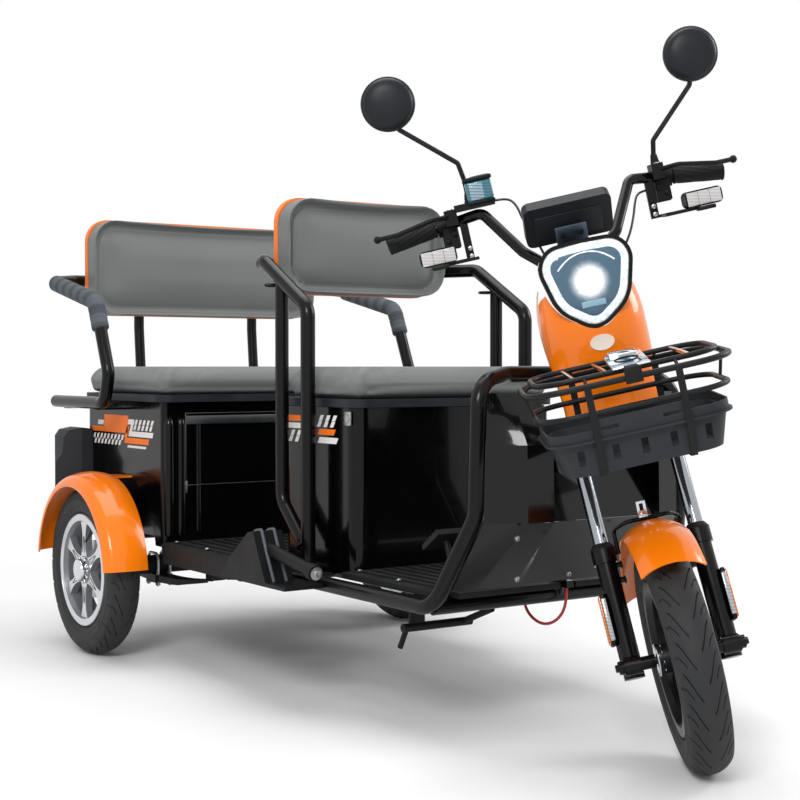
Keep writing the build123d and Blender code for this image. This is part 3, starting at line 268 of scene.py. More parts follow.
def settle(parts, name, material, body, smooth=32):
    """Joins a list of parts, or takes one, into a finished piece tied to its body."""
    parts = parts if isinstance(parts, list) else [parts]
    select_only(*parts)
    if len(parts) > 1:
        bpy.ops.object.join()
    piece = bpy.context.object
    bpy.ops.object.transform_apply(location=True, rotation=True, scale=True)
    if body in ("steering", "front_wheel"):
        piece.data.transform(parked)
    bpy.ops.object.mode_set(mode="EDIT")
    bpy.ops.mesh.select_all(action="SELECT")
    bpy.ops.mesh.normals_make_consistent(inside=False)
    bpy.ops.object.mode_set(mode="OBJECT")
    bpy.ops.object.shade_smooth_by_angle(angle=radians(smooth))
    piece.name = piece.data.name = name
    piece.data.materials.clear()
    piece.data.materials.append(material)
    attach(piece, body)
    return piece


def turned_part(foot, along, rings, sides=40):
    """A disc extruded ring by ring. Each ring is a distance along it and a radius, in mm."""
    rings = [(at / 1000, radius / 1000) for at, radius in rings]
    bpy.ops.mesh.primitive_circle_add(vertices=sides, radius=rings[0][1], fill_type="NGON", location=(0, 0, 0))
    part = bpy.context.object
    bpy.ops.object.mode_set(mode="EDIT")
    bpy.ops.mesh.select_all(action="SELECT")
    bpy.ops.transform.translate(value=(0, 0, rings[0][0]))
    for (low, wide), (high, next_wide) in zip(rings, rings[1:]):
        bpy.ops.mesh.extrude_region_move(TRANSFORM_OT_translate={"value": (0, 0, high - low)})
        share = next_wide / wide
        bpy.ops.transform.resize(value=(share, share, 1), center_override=(0, 0, high))
    bpy.ops.object.mode_set(mode="OBJECT")
    part.rotation_euler = Vector(along).to_track_quat("Z", "Y").to_euler()
    part.location = foot
    select_only(part)
    bpy.ops.object.transform_apply(location=True, rotation=True, scale=True)
    return part


def plate_part(middle, size, edge, segments=2, turn=0.0):
    """A flat or blocky part with rounded edges, turned about Y. The size and edge are in mm."""
    bpy.ops.mesh.primitive_cube_add(size=1, location=middle, rotation=(0, turn, 0),
                                    scale=[length / 1000 for length in size])
    part = bpy.context.object
    bpy.ops.object.transform_apply(location=False, rotation=False, scale=True)
    bpy.ops.object.mode_set(mode="EDIT")
    bpy.ops.mesh.select_all(action="SELECT")
    bpy.ops.mesh.bevel(offset=edge / 1000, segments=segments, affect="EDGES", clamp_overlap=True)
    bpy.ops.object.mode_set(mode="OBJECT")
    bpy.ops.object.transform_apply(location=True, rotation=True, scale=True)
    return part


def bent_wire(points, radius, closed=False, order=3, sides=3):
    """A round wire or tube along a smooth line, made a mesh."""
    part = smooth_line(points, radius, sides, closed=closed, order=order)
    scene.collection.objects.link(part)
    select_only(part)
    bpy.ops.object.convert(target="MESH")
    return bpy.context.object


def other_side(piece):
    """The same piece on the other side of the tricycle."""
    select_only(piece)
    bpy.ops.object.duplicate()
    twin = bpy.context.object
    twin.data.transform(Matrix.Scale(-1, 4, (0, 1, 0)))
    twin.data.flip_normals()
    return twin


# Weld beads: where the round guards, armrests and cross tubes meet, each joint has a
# bead of weld, a low uneven ring that the enamel covers.
def weld_bead(middle, along, radius):
    around, across, ripples = 40, 8, 10
    bpy.ops.mesh.primitive_torus_add(major_radius=radius + 0.0012, minor_radius=0.0026, major_segments=around,
                                     minor_segments=across, location=(0, 0, 0))
    bead = bpy.context.object
    for i, vertex in enumerate(bead.data.vertices):
        swell = 1 + 0.05 * sin(2 * pi * (i // across) * ripples / around)
        vertex.co.x *= swell
        vertex.co.y *= swell
        vertex.co.z *= 1.3
    bead.rotation_euler = Vector(along).to_track_quat("Z", "Y").to_euler()
    bead.location = middle
    bpy.ops.object.transform_apply(location=True, rotation=True, scale=True)
    return bead


settle([weld_bead((x, side * y, z), along, radius) for side in (-1, 1) for x, y, z, along, radius in [
    (-0.1012, 0.3, 0.9035, (0, 0, 1), 0.0155), (0.0386, 0.3, 0.335, (-1, 0, 0.8), 0.0155),
    (-0.3892, 0.35, 0.265, (0, 1, 0), 0.0162)]], "weld_beads", black_enamel, "chassis")


# Decks: black moulded polypropylene mats on the frame, ribbed for shoe soles, scuffed
# dull on top of the ribs.
def tinted(shader, share, dark, light, into="Base Color"):
    """Runs the base colour from dark to light."""
    mix = add_node(shader, "ShaderNodeMix", {6: linear(dark), 7: linear(light)}, {0: share}, data_type="RGBA")
    shader.id_data.links.new(mix.outputs[2], shader.inputs[into])
    return mix.outputs[2]


def cells(near, scale, **settings):
    """A cell pattern on the piece's own coordinates."""
    return add_node(near, "ShaderNodeTexVoronoi", {"Scale": scale}, {"Vector": own_place(near)},
                    **settings).outputs[0]


def moulded(name, dark, light, low, high, grain_mm, bump=0.25):
    # injection moulding from a grained tool: pits at grain_mm, wear that greys it
    material, shader = new_finish(name, Specular_IOR_Level=0.16)
    wear = noise(shader, 18, 5, 0.65)
    tinted(shader, wear, dark, light)
    roughen(shader, wear, low, high)
    relief(shader, cells(shader, 1000 / grain_mm), bump, 0.0003)
    return material


def deck_moulding():
    # moulded polypropylene: low sheen, a leather grain near 1 mm and grey scuffs
    material, shader = new_finish("deck_polypropylene", Specular_IOR_Level=0.2)
    scuff = noise(shader, 14, 6, 0.7)
    roughen(shader, scuff, 0.5, 0.78, end=0.75)
    tinted(shader, scuff, "#101011", "#202122")
    relief(shader, cells(shader, 900), 0.35, 0.0003)
    return material


dress(deck_moulding(), "driver_floor", "passenger_floor")


# Deck screws: pan-head screws with washers hold each deck to the frame's cross tubes.
def pan_screw(place, along, radius):
    head = [(0, 1.5), (0.18, 1.5), (0.2, 1), (0.5, 0.96), (0.72, 0.7), (0.78, 0.3)]
    return turned_part(place, along, [(at * radius, wide * radius) for at, wide in head], 24)


def bright_metal(name, colour, low, high, grain_mm, bump=0.15):
    # metal: brightness from its own colour; fine grain lines or pits set its roughness
    material, shader = new_finish(name, Base_Color=linear(colour), Metallic=1.0)
    roughen(shader, noise(shader, 22, 4), low, high)
    relief(shader, noise(shader, 1000 / grain_mm, 3), bump, 0.0002)
    return material


zinc_plate = bright_metal("zinc_plated_steel", "#A9ABAD", 0.28, 0.42, 0.8)
settle([pan_screw((x, side * y, 0.2966), (0, 0, 1), 4.2) for side in (-1, 1) for x, y in [
    (0.21, 0.27), (0.37, 0.28), (0.505, 0.26), (-0.47, 0.36), (-0.3, 0.365), (-0.145, 0.36)]],
    "deck_screws", zinc_plate, "chassis")


# Seat boxes: deep shells pressed in gloss black ABS, open at the top and lidded by the
# seats. The passengers' box has a shallow framed panel in its front face.
def gloss_abs(name, colour, low, high, coat=0.15):
    # polished ABS: near-mirror gloss, faint sink waves a palm wide, wiping haze
    material, shader = new_finish(name, Base_Color=linear(colour), Specular_IOR_Level=0.15,
                                  Coat_Weight=coat, Coat_Roughness=0.03)
    relief(shader, noise(shader, 11, 1), 0.1, 0.003)
    roughen(shader, noise(shader, 30, 6, 0.7), low, high, 0.35)
    return material


box_gloss = gloss_abs("gloss_black_abs", "#050506", 0.1, 0.2)
dress(box_gloss, "rear_box", "driver_box")


# Box front trim: two half-round posts, a grey anodised rail under the lip, and the thin
# bright beads that frame the panel. They are clipped into the face.
rail_grey = bright_metal("grey_anodised_aluminium", "#6E7072", 0.3, 0.42, 1.0)
black_plastic = moulded("grained_black_nylon", "#0C0D0E", "#17181A", 0.38, 0.55, 0.9)
settle([turned_part((-0.5042, y, 0.305), (0, 0, 1), [
    (0, wide * 0.5), (4, wide * 0.9), (14, wide), (270, wide), (284, wide * 0.9), (292, wide * 0.45)], 24)
    for y, wide in ((-0.3635, 12), (-0.3325, 11.5), (0.3635, 12), (0.3325, 11.5))],
    "box_front_posts", box_gloss, "chassis")
settle([plate_part((-0.5038, y, z), size, 0.7) for y, z, size in [
    (0, 0.6072, (2.2, 640, 2.2)), (0, 0.4305, (2.2, 640, 2.2)),
    (-0.319, 0.519, (2.2, 2.2, 176)), (0.319, 0.519, (2.2, 2.2, 176))]],
    "box_front_beads", rail_grey, "chassis")
settle(plate_part((-0.5036, 0, 0.5905), (3, 634, 21), 1), "box_front_rail", rail_grey, "chassis")
hinge_parts = []
for y in (-0.326, 0.326):
    hinge_parts += [plate_part((-0.503, y, 0.4255), (4, 20, 30), 1),
                    turned_part((-0.5005, y, 0.411), (0, 0, 1), [(0, 2.6), (29, 2.6)], 16)]
settle(hinge_parts, "box_panel_hinges", zinc_plate, "chassis")


# Side stripes: vinyl film cut to bars, stepped bars and slanted checks, orange and white,
# stuck on both sides of both boxes. A film is a third of a millimetre thick here.
def vinyl_film(name, dark, light):
    # cast vinyl: flat colour, satin, with a few trapped bubbles
    material, shader = new_finish(name, Roughness=0.4, Specular_IOR_Level=0.15)
    tinted(shader, noise(shader, 25, 3), dark, light)
    relief(shader, noise(shader, 300, 0), 0.08, 0.0003)
    return material


orange_film = vinyl_film("orange_vinyl_film", "#F0700C", "#F97F1C")
white_film = vinyl_film("white_vinyl_film", "#DCDCDA", "#F2F2F0")


def film_bar(left, right, low, high, slant, side_y):
    """One bar of film on a side face, in millimetres; slant moves its top forward."""
    bpy.ops.mesh.primitive_plane_add(size=1, location=((left + right) / 2000, side_y, (low + high) / 2000),
                                     rotation=(pi / 2, 0, 0))
    bar = bpy.context.object
    bar.scale = ((right - left) / 1000, (high - low) / 1000, 1)
    bpy.ops.object.transform_apply(location=True, rotation=True, scale=True)
    for vertex in bar.data.vertices:
        if vertex.co.z > (low + high) / 2000:
            vertex.co.x += slant / 1000
    bpy.ops.object.mode_set(mode="EDIT")
    bpy.ops.mesh.select_all(action="SELECT")
    bpy.ops.mesh.extrude_region_move(TRANSFORM_OT_translate={"value": (0, -0.00035, 0)})
    bpy.ops.object.mode_set(mode="OBJECT")
    return bar


def film_set(name, side_y, material, bars):
    near = settle([film_bar(*bar, side_y) for bar in bars], name + "_right", material, "chassis")
    settle(other_side(near), name + "_left", material, "chassis")


def checks(start, count, pitch, low, high, slant):
    """A row of slanted strips, each as wide as the gap beside it."""
    return [(start + i * pitch, start + (i + 0.5) * pitch, low, high, slant) for i in range(count)]


rear_side, driver_side = -0.3801, -0.2651
film_set("rear_box_orange_film", rear_side, orange_film, [
    (-942, -859, 552, 565, 0), (-862, -711, 552, 597, 4), (-729, -714, 541.1, 570, 14), (-732, -588, 527, 541, 6)])
film_set("rear_box_white_film", rear_side, white_film, [
    (-901, -864, 570, 582, 2), (-709, -673, 575, 588, 3), (-698, -684, 558.1, 574.9, 8), (-706, -563, 545, 558, 6),
    (-713, -602, 516, 522, 3), *checks(-668, 5, 23.5, 575.5, 588, 8), *checks(-676, 5, 23.5, 561.5, 574, 8),
    *checks(-932, 9, 22.4, 534, 547, 8), *checks(-926, 8, 22.4, 520, 533, 8)])
film_set("driver_box_orange_film", driver_side, orange_film, [(-93, -26, 601, 614, 0), (33, 100, 574, 587, 9)])
film_set("driver_box_white_film", driver_side, white_film, [
    (-93, -28, 585, 597, 0), (33, 110, 556, 569, 9), *checks(-84, 2, 27, 568.5, 581, 8),
    *checks(-92, 2, 27, 555, 567.5, 8), *checks(38, 3, 27, 604.5, 617, 9), *checks(30, 3, 27, 591, 603.5, 9)])


# Seat latches: a zinc push lock on each side of the driver's box, under the seat's lip.
latch_parts = []
for side in (-1, 1):
    latch_parts += [plate_part((0.158, side * 0.2665, 0.612), (26, 4, 30), 1.5),
                    turned_part((0.158, side * 0.2675, 0.612), (0, side, 0),
                                [(0, 8.5), (3, 8.5), (3.6, 7.5), (3.6, 2.8), (2.6, 2.6)], 28)]
settle(latch_parts, "seat_box_locks", zinc_plate, "chassis")


# Battery: a lead block in a ribbed polypropylene case in the driver's box, with a lifting
# strap and two terminals on top.
dress(moulded("dark_blue_polypropylene", "#1A222B", "#26313C", 0.42, 0.55, 1.2), "battery_pack")
settle([turned_part((-0.02, y, 0.4596), (0, 0, 1), [(0, 11), (4, 11), (4.5, 8), (14, 7.2), (15, 6)], 28)
        for y in (-0.16, 0.16)], "battery_terminals", zinc_plate, "chassis")
settle(bent_wire([(0.033, y, z) for y, z in [
    (-0.13, 0.4605), (-0.1, 0.4665), (-0.05, 0.4725), (0.05, 0.4725), (0.1, 0.4665), (0.13, 0.4605)]], 0.004),
    "battery_strap", black_plastic, "chassis")


# Seat bases: stiff moulded boards with a turned-down lip, which carry the cushions and
# swing up with them on hinges at the back.
dress(moulded("slate_grey_polypropylene", "#1C1E22", "#2A2D33", 0.3, 0.45, 1.1), "driver_seat_base", "rear_seat_base")


# Cushions: polyurethane foam under grey leatherette, stapled round the board's lip. Each
# is a rounded block that is swelled by a short cloth simulation and then given its seams.
def leatherette(name, dark, light, grain_mm=1.6):
    # PVC leatherette: pebble grain (real 0.8 mm, drawn at twice that to show), soft sheen,
    # hand marks
    material, shader = new_finish(name, Specular_IOR_Level=0.35, Sheen_Weight=0.08)
    tone = noise(shader, 5, 4, 0.55)
    tinted(shader, tone, dark, light)
    roughen(shader, tone, 0.46, 0.58)
    fine = relief(shader, cells(shader, 1000 / grain_mm, feature="SMOOTH_F1"), 0.3, 0.0003)
    relief(shader, noise(shader, 40, 4), 0.12, 0.002, under=fine)
    return material


grey_leatherette = leatherette("grey_pvc_leatherette", "#666968", "#717473")
orange_leatherette = leatherette("orange_pvc_leatherette", "#E8701C", "#F58434")


def foam_block(middle, size, axis, corner, edge, free=1):
    """A block with the corners along one axis rounded, then the edges at that axis's free end."""
    bpy.ops.mesh.primitive_cube_add(size=1, location=middle, scale=size)
    block = bpy.context.object
    bpy.ops.object.transform_apply(location=True, rotation=False, scale=True)
    bpy.ops.object.mode_set(mode="EDIT")
    bpy.ops.mesh.select_all(action="DESELECT")
    bpy.ops.object.mode_set(mode="OBJECT")
    mesh = block.data
    for line in mesh.edges:
        a, b = (mesh.vertices[i].co for i in line.vertices)
        line.select = bool(abs(a[axis] - b[axis]) > size[axis] * 0.9)
    bpy.ops.object.mode_set(mode="EDIT")
    bpy.ops.mesh.bevel(offset=corner, segments=8, affect="EDGES")
    bpy.ops.object.mode_set(mode="OBJECT")
    limit = max(free * v.co[axis] for v in mesh.vertices) - 0.0005
    for face in mesh.polygons:
        face.select = False
    for vertex in mesh.vertices:
        vertex.select = free * vertex.co[axis] > limit
    for line in mesh.edges:
        line.select = all(mesh.vertices[i].select for i in line.vertices)
    bpy.ops.object.mode_set(mode="EDIT")
    bpy.ops.mesh.select_mode(type="EDGE")
    bpy.ops.mesh.bevel(offset=edge, segments=5, affect="EDGES")
    bpy.ops.mesh.select_mode(type="VERT")
    bpy.ops.object.mode_set(mode="OBJECT")
    return block


def coordinates(mesh):
    flat = np.empty(len(mesh.vertices) * 3, dtype=np.float64)
    mesh.vertices.foreach_get("co", flat)
    return flat.reshape(-1, 3)


def put_coordinates(mesh, places):
    mesh.vertices.foreach_set("co", places.reshape(-1).astype(np.float32))
    mesh.update()


def reshape(block, kind, **settings):
    """Adds one modifier and applies it."""
    change = block.modifiers.new("change", kind)
    for key, value in settings.items():
        setattr(change, key, value)
    bpy.ops.object.modifier_apply(modifier="change")


def even_mesh(block, voxel):
    """Lays an even mesh over a block."""
    block.data.remesh_voxel_size = voxel
    select_only(block)
    bpy.ops.object.voxel_remesh()


def stuff(block, voxel, axis, pinned_below, cap, low, high):
    """Swells a block like stuffed leatherette, then holds it inside its space."""
    even_mesh(block, voxel)
    start = coordinates(block.data).copy()
    frames = 20
    held = block.vertex_groups.new(name="held")
    held.add([int(i) for i in np.nonzero(start[:, axis] < pinned_below)[0]], 1.0, "REPLACE")
    cloth = block.modifiers.new("stuffing", "CLOTH")
    cloth.settings.use_pressure = True
    cloth.settings.uniform_pressure_force = 4
    cloth.settings.effector_weights.gravity = 0
    cloth.settings.vertex_group_mass = "held"
    cloth.settings.tension_stiffness = 20
    cloth.settings.compression_stiffness = 20
    cloth.settings.bending_stiffness = 4
    cloth.point_cache.frame_start = 1
    cloth.point_cache.frame_end = frames
    for step in range(1, frames + 1):
        scene.frame_set(step)
    bpy.ops.object.modifier_apply(modifier="stuffing")
    block.vertex_groups.clear()
    scene.frame_set(1)
    move = coordinates(block.data) - start
    far = np.linalg.norm(move, axis=1, keepdims=True)
    swelled = start + move * np.minimum(1, cap / np.maximum(far, 1e-9))
    put_coordinates(block.data, np.clip(swelled, low, high))
    reshape(block, "SMOOTH", iterations=3)
    reshape(block, "SUBSURF", levels=1, render_levels=1)


def press_seam(block, places, away, width, depth, middle_x):
    """Draws the cover in along a seam; away is each point's distance to it."""
    places[:, 0] += np.sign(middle_x - places[:, 0]) * depth * np.exp(-(away / width) ** 2)
    put_coordinates(block.data, places)


def upholster(block, name, material, body, node):
    settle(block, name, material, body, smooth=60)
    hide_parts(node)


def seat_cushion(name, node, body, voxel):
    low, high = (np.array(corner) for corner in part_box(node))
    middle = (low + high) / 2
    block = foam_block((middle[0], 0, middle[2] - 0.003), list(high - low - 0.006), 2, 0.036, 0.012)
    stuff(block, voxel, 2, low[2] + 0.008, 0.008, low + 0.0002, high)
    # a quarter-round seam falls from the cushion's top over each front corner
    places = coordinates(block.data)
    radius, straight_y, rise = 0.052, high[1] - 0.144, places[:, 2] - low[2] - 0.004
    reach = np.abs(places[:, 1])
    away = np.abs(np.hypot(reach - straight_y, rise) - radius)
    away[(reach < straight_y - 0.002) | (places[:, 0] < high[0] - 0.05) | (rise < 0)] = 1
    press_seam(block, places, away, 0.0016, 0.0012, middle[0])
    upholster(block, name, grey_leatherette, body, node)


seat_cushion("passenger_cushion", "rear_seat_pad", "rear_seat", 0.007)
seat_cushion("driver_cushion", "driver_seat_pad", "driver_seat", 0.006)


# Backrests: a stuffed grey pad in front and an orange cover stretched over the board
# behind it. A double row of stitches runs inside the pad's edge.
def outline_distance(places, middle_z, half_wide, half_high, corner):
    """Distance from a rounded rectangle's line, seen from the front."""
    y = np.abs(places[:, 1]) - half_wide + corner
    z = np.abs(places[:, 2] - middle_z) - half_high + corner
    outside = np.hypot(np.maximum(y, 0), np.maximum(z, 0)) + np.minimum(np.maximum(y, z), 0)
    return np.abs(outside - corner)


def add_mesh(places, faces):
    """A loose object from points and faces."""
    mesh = bpy.data.meshes.new("shape")
    mesh.from_pydata(places, [], faces)
    shape = bpy.data.objects.new("shape", mesh)
    scene.collection.objects.link(shape)
    return shape


def on_outline(s, straight_y, straight_z, corner):
    """The point s along a rounded rectangle, up from its lower right corner, and its heading."""
    for quarter in range(4):
        run, aim = 2 * (straight_z, straight_y)[quarter % 2], pi / 2 * (quarter + 1)
        y, z = straight_y * (1, -1, -1, 1)[quarter], straight_z * (1, 1, -1, -1)[quarter]
        if s <= run:
            back = run - s
            return y + corner * sin(aim) - back * cos(aim), z - corner * cos(aim) - back * sin(aim), aim
        s -= run
        if s <= pi / 2 * corner or quarter == 3:
            aim += s / corner
            return y + corner * sin(aim), z - corner * cos(aim), aim
        s -= pi / 2 * corner


def stitch_row(pad, middle_z, half_wide, half_high, corner, start_x, pitch):
    """Small stitches laid along a rounded rectangle on the pad's face."""
    straight_y, straight_z = half_wide - corner, half_high - corner
    length = 4 * (straight_y + straight_z) + 2 * pi * corner
    bpy.ops.mesh.primitive_cylinder_add(vertices=6, radius=0.00055, depth=pitch * 0.62, rotation=(0, pi / 2, 0))
    single = bpy.context.object
    bpy.ops.object.transform_apply(location=True, rotation=True, scale=True)
    bpy.ops.object.mode_set(mode="EDIT")
    bpy.ops.mesh.bevel(offset=0.0003, segments=1, affect="EDGES")
    bpy.ops.object.mode_set(mode="OBJECT")
    along, across, out = coordinates(single.data).T
    faces = [list(f.vertices) for f in single.data.polygons]
    bpy.data.objects.remove(single)
    all_places, all_faces = [], []
    count = int(length / pitch)
    for i in range(count):
        y, z, aim = on_outline(i * length / count, straight_y, straight_z, corner)
        hit, place, _, _ = pad.ray_cast(Vector((start_x, y, middle_z + z)), Vector((-1, 0, 0)))
        if hit:
            all_faces += [[v + len(all_places) * len(out) for v in face] for face in faces]
            all_places.append(np.stack([
                place.x + out * 0.8, y + along * cos(aim) - across * sin(aim),
                middle_z + z + along * sin(aim) + across * cos(aim)], axis=1))
    return add_mesh(np.concatenate(all_places).tolist(), all_faces)


def sewing_thread():
    # bonded polyester thread: matt, a tone lighter than the cover, with its twist
    material, shader = new_finish("grey_polyester_thread", Roughness=0.7, Sheen_Weight=0.2)
    twist = add_node(shader, "ShaderNodeTexWave", {"Scale": 900, "Distortion": 1.0}, {"Vector": own_place(shader)})
    tinted(shader, twist.outputs["Fac"], "#8B8E8D", "#A6A9A8")
    return material


grey_thread = sewing_thread()


def backrest_pad(name, node, voxel):
    low, high = (np.array(corner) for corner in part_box(node))
    middle = (low + high) / 2
    _, wide, tall = high - low
    block = foam_block((middle[0] - 0.002, 0, middle[2]), [0.042, wide - 0.012, tall - 0.012], 0, 0.066, 0.017)
    stuff(block, voxel, 0, low[0] + 0.03, 0.009, low + 0.0003, high)
    reshape(block, "SMOOTH", iterations=14)
    # the top edge is drawn down a little between its corners
    places = coordinates(block.data)
    rise = np.clip((places[:, 2] - middle[2]) / (tall / 2), 0, 1)
    places[:, 2] -= 0.009 * rise ** 2 * np.cos(np.clip(places[:, 1] / (wide / 2), -1, 1) * pi / 2) ** 1.2
    half_wide, half_high, corner, seam_z = wide / 2 - 0.026, tall / 2 - 0.026, 0.052, middle[2] - 0.002
    away = outline_distance(places, seam_z, half_wide, half_high, corner)
    away[places[:, 0] <= middle[0]] = 1
    press_seam(block, places, away, 0.0011, 0.0004, middle[0])
    upholster(block, name, grey_leatherette, "chassis", node)
    settle([stitch_row(block, seam_z, half_wide + step, half_high + step, corner + step, high[0] + 0.05, 0.0062)
            for step in (-0.0042, 0.0042)], name + "_stitches", grey_thread, "chassis", smooth=40)


backrest_pad("driver_back_pad", "driver_backrest_pad", 0.006)
backrest_pad("passenger_back_pad", "rear_backrest_pad", 0.007)


def backrest_cover(name, node):
    low, high = (np.array(corner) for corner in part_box(node))
    size = high - low - (0.0004, 0.001, 0.001)
    middle_z = (low[2] + high[2]) / 2
    block = foam_block(((low[0] + high[0]) / 2, 0, middle_z), list(size), 0, 0.06, 0.012, free=-1)
    even_mesh(block, 0.005)
    reshape(block, "SMOOTH", iterations=6)
    # tucks: the cover is drawn over the board's edge in soft pleats
    places = coordinates(block.data)
    away = outline_distance(places, middle_z, size[1] / 2 - 0.004, size[2] / 2 - 0.004, 0.055)
    pleats = 0.0007 * np.sin(places[:, 1] * 190) * np.sin(places[:, 2] * 170) * np.exp(-(away / 0.012) ** 2)
    places[:, 0] = np.clip(places[:, 0] + pleats, low[0] + 0.0002, high[0] - 0.0001)
    put_coordinates(block.data, places)
    upholster(block, name, orange_leatherette, "chassis", node)


backrest_cover("driver_back_cover", "driver_backrest_cover")
backrest_cover("passenger_back_cover", "rear_backrest_cover")


# Armrest sleeves: closed-cell foam tube slipped over the bent bars, in rings of two
# greys, each ring as long as a thumb is wide.
def foam_rubber():
    # nitrile foam: dull, open-looking skin of 1 mm cells, bands 24 mm long in two greys
    material, shader = new_finish("grey_nitrile_foam", Roughness=0.82, Specular_IOR_Level=0.25)
    band = add_node(shader, "ShaderNodeAttribute", attribute_name="band")
    tint = tinted(shader, band.outputs["Fac"], "#474D53", "#5A6167")
    shade = add_node(shader, "ShaderNodeMix", {7: linear("#3B4046")},
                     {0: maths(shader, "MULTIPLY", noise(shader, 120, 3), 0.35), 6: tint}, data_type="RGBA")
    shader.id_data.links.new(shade.outputs[2], shader.inputs["Base Color"])
    relief(shader, cells(shader, 1000), 0.45, 0.0004)
    return material


def line_points(points):
    """Points along a smooth curve through a short list of controls."""
    holder = smooth_line(points, steps=24)
    places = [v.co.copy() for v in bpy.data.meshes.new_from_object(holder).vertices]
    bpy.data.objects.remove(holder)
    return places


def sleeve(controls, radius_at, step, sides=28, band_at=None):
    """A soft tube swept along a smooth line, closed at both ends."""
    line = line_points(controls)
    lengths = np.cumsum([0] + [(b - a).length for a, b in zip(line, line[1:])])
    flat = np.array([list(p) for p in line])
    stations = np.linspace(0, lengths[-1], int(lengths[-1] / step) + 1)
    spine = np.stack([np.interp(stations, lengths, flat[:, k]) for k in range(3)], axis=1)
    aim = np.gradient(spine, axis=0)
    aim /= np.linalg.norm(aim, axis=1, keepdims=True)
    first = np.cross(aim, (0, 1, 0) if abs(aim[:, 1]).max() < 0.9 else (1, 0, 0))
    first /= np.linalg.norm(first, axis=1, keepdims=True)
    second = np.cross(aim, first)
    turns = np.arange(sides) * 2 * pi / sides
    places = [spine[i] + radius_at(s, lengths[-1], turn) * (cos(turn) * first[i] + sin(turn) * second[i])
              for i, s in enumerate(stations) for turn in turns]
    last = (len(stations) - 1) * sides
    faces = [[i + j, i + (j + 1) % sides, i + sides + (j + 1) % sides, i + sides + j]
             for i in range(0, last, sides) for j in range(sides)]
    faces += [list(range(sides))[::-1], list(range(last, last + sides))]
    tube = add_mesh([tuple(p) for p in places], faces)
    if band_at:
        bands = [band_at(s) for s in stations for _ in turns]
        tube.data.attributes.new("band", "FLOAT", "POINT").data.foreach_set("value", bands)
    return tube


band_length = 0.024


def foam_radius(s, whole, turn):
    """The sleeve's radius: rounded at both ends, with a shallow groove in the middle of each band."""
    end = min(s, whole - s)
    rounding = 0.0045 * (1 - sqrt(max(0.0, 1 - (1 - min(end / 0.006, 1)) ** 2)))
    ring = 0.0009 * exp(-((s % band_length - band_length / 2) / 0.0022) ** 2)
    return 0.0218 - rounding - ring


foam = foam_rubber()
arm_line = [(x, -0.455, z) for x, z in [
    (-1.002, 0.9443), (-0.7768, 0.8951), (-0.7352, 0.886), (-0.7179, 0.8471), (-0.7032, 0.814)]]
arm_sleeve = sleeve(arm_line, foam_radius, 0.002, band_at=lambda s: float(int(s / band_length) % 2))
right_sleeve = settle(arm_sleeve, "armrest_sleeve_right", foam, "chassis", smooth=60)
left_sleeve = settle(other_side(right_sleeve), "armrest_sleeve_left", foam, "chassis", smooth=60)
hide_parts("armrest_foam")


# Fenders and nose: pressed steel panels in clear-coated orange lacquer. The rear fenders
# are screwed to the axle's brackets.
def lacquer(name, dark, light):
    # solid orange lacquer under clear coat: wet gloss, orange peel 3 mm across
    material, shader = new_finish(name, Roughness=0.28, Specular_IOR_Level=0.2, Coat_Weight=0.45,
                                  Coat_Roughness=0.05)
    tinted(shader, noise(shader, 6, 3), dark, light)
    relief(shader, noise(shader, 330, 1), 0.08, 0.0004)
    return material


dress(lacquer("clear_coated_orange_lacquer", "#F07200", "#FA8206"), "rear_fenders", "front_fender", "front_cowl")
settle([pan_screw((x, side * 0.418, 0.4425), (0, 0, 1), 4.5) for x in (-0.745, -0.693) for side in (-1, 1)],
       "fender_screws", zinc_plate, "chassis")


# Tail pods: matt moulded housings behind the fenders. Each has a red lamp, an amber turn
# lamp and a red reflector in its back face, with ribbed lenses of clear acrylic.
dress(moulded("matt_slate_polypropylene", "#26282B", "#34373B", 0.5, 0.65, 1.2), "tail_lamps")


def lamp_lens(name, dark, light):
    # moulded acrylic lens: glossy, with optic ribs 3 mm apart behind the face
    material, shader = new_finish(name, Roughness=0.12, Coat_Weight=0.8, Coat_Roughness=0.03)
    ribs = add_node(shader, "ShaderNodeTexWave", {"Scale": 53}, {"Vector": own_place(shader)},
                    bands_direction="Z").outputs["Fac"]
    tinted(shader, ribs, dark, light)
    relief(shader, ribs, 0.25, 0.0008)
    return material


red_lens = lamp_lens("red_acrylic_lens", "#8E0F0C", "#C81B14")
amber_lens = lamp_lens("amber_acrylic_lens", "#B9540A", "#E8821A")
for name, lens, lamps in [
        ("tail_lenses_red", red_lens, [(0.505, 50), (0.375, 30)]), ("tail_lenses_amber", amber_lens, [(0.438, 50)])]:
    settle([plate_part((-1.0205, side * 0.413, z), (7, 56, tall), 2.5, 3) for side in (-1, 1) for z, tall in lamps],
           name, lens, "chassis")


# Rear axle and springs: a painted steel axle with its motor on it, carried by three-leaf
# springs. Zinc-plated threaded U-bolts clamp them together.
axle_paint = moulded("black_chassis_paint", "#121213", "#242322", 0.42, 0.62, 2.0, 0.3)
dress(axle_paint, "rear_axle")
dress(bright_metal("blackened_spring_steel", "#3A3B3D", 0.45, 0.6, 1.5, 0.3), "leaf_springs")
axle_x, axle_z, bolt_reach = -0.7192, 0.212, 0.028
bolts = []
for y in (-0.3065, -0.2735, 0.2735, 0.3065):
    bolts.append(bent_wire([(axle_x + x, y, z) for x, z in [
        (-bolt_reach, 0.158), (-bolt_reach, 0.2), (-bolt_reach, 0.2405), (0, 0.2415), (bolt_reach, 0.2405),
        (bolt_reach, 0.2), (bolt_reach, 0.158)]], 0.004))
    bolts += [turned_part((axle_x + x, y, 0.1645), (0, 0, -1), [(-3.5, 7.2), (3.5, 7.2)], 6)
              for x in (-bolt_reach, bolt_reach)]
settle(bolts, "axle_u_bolts", zinc_plate, "chassis")


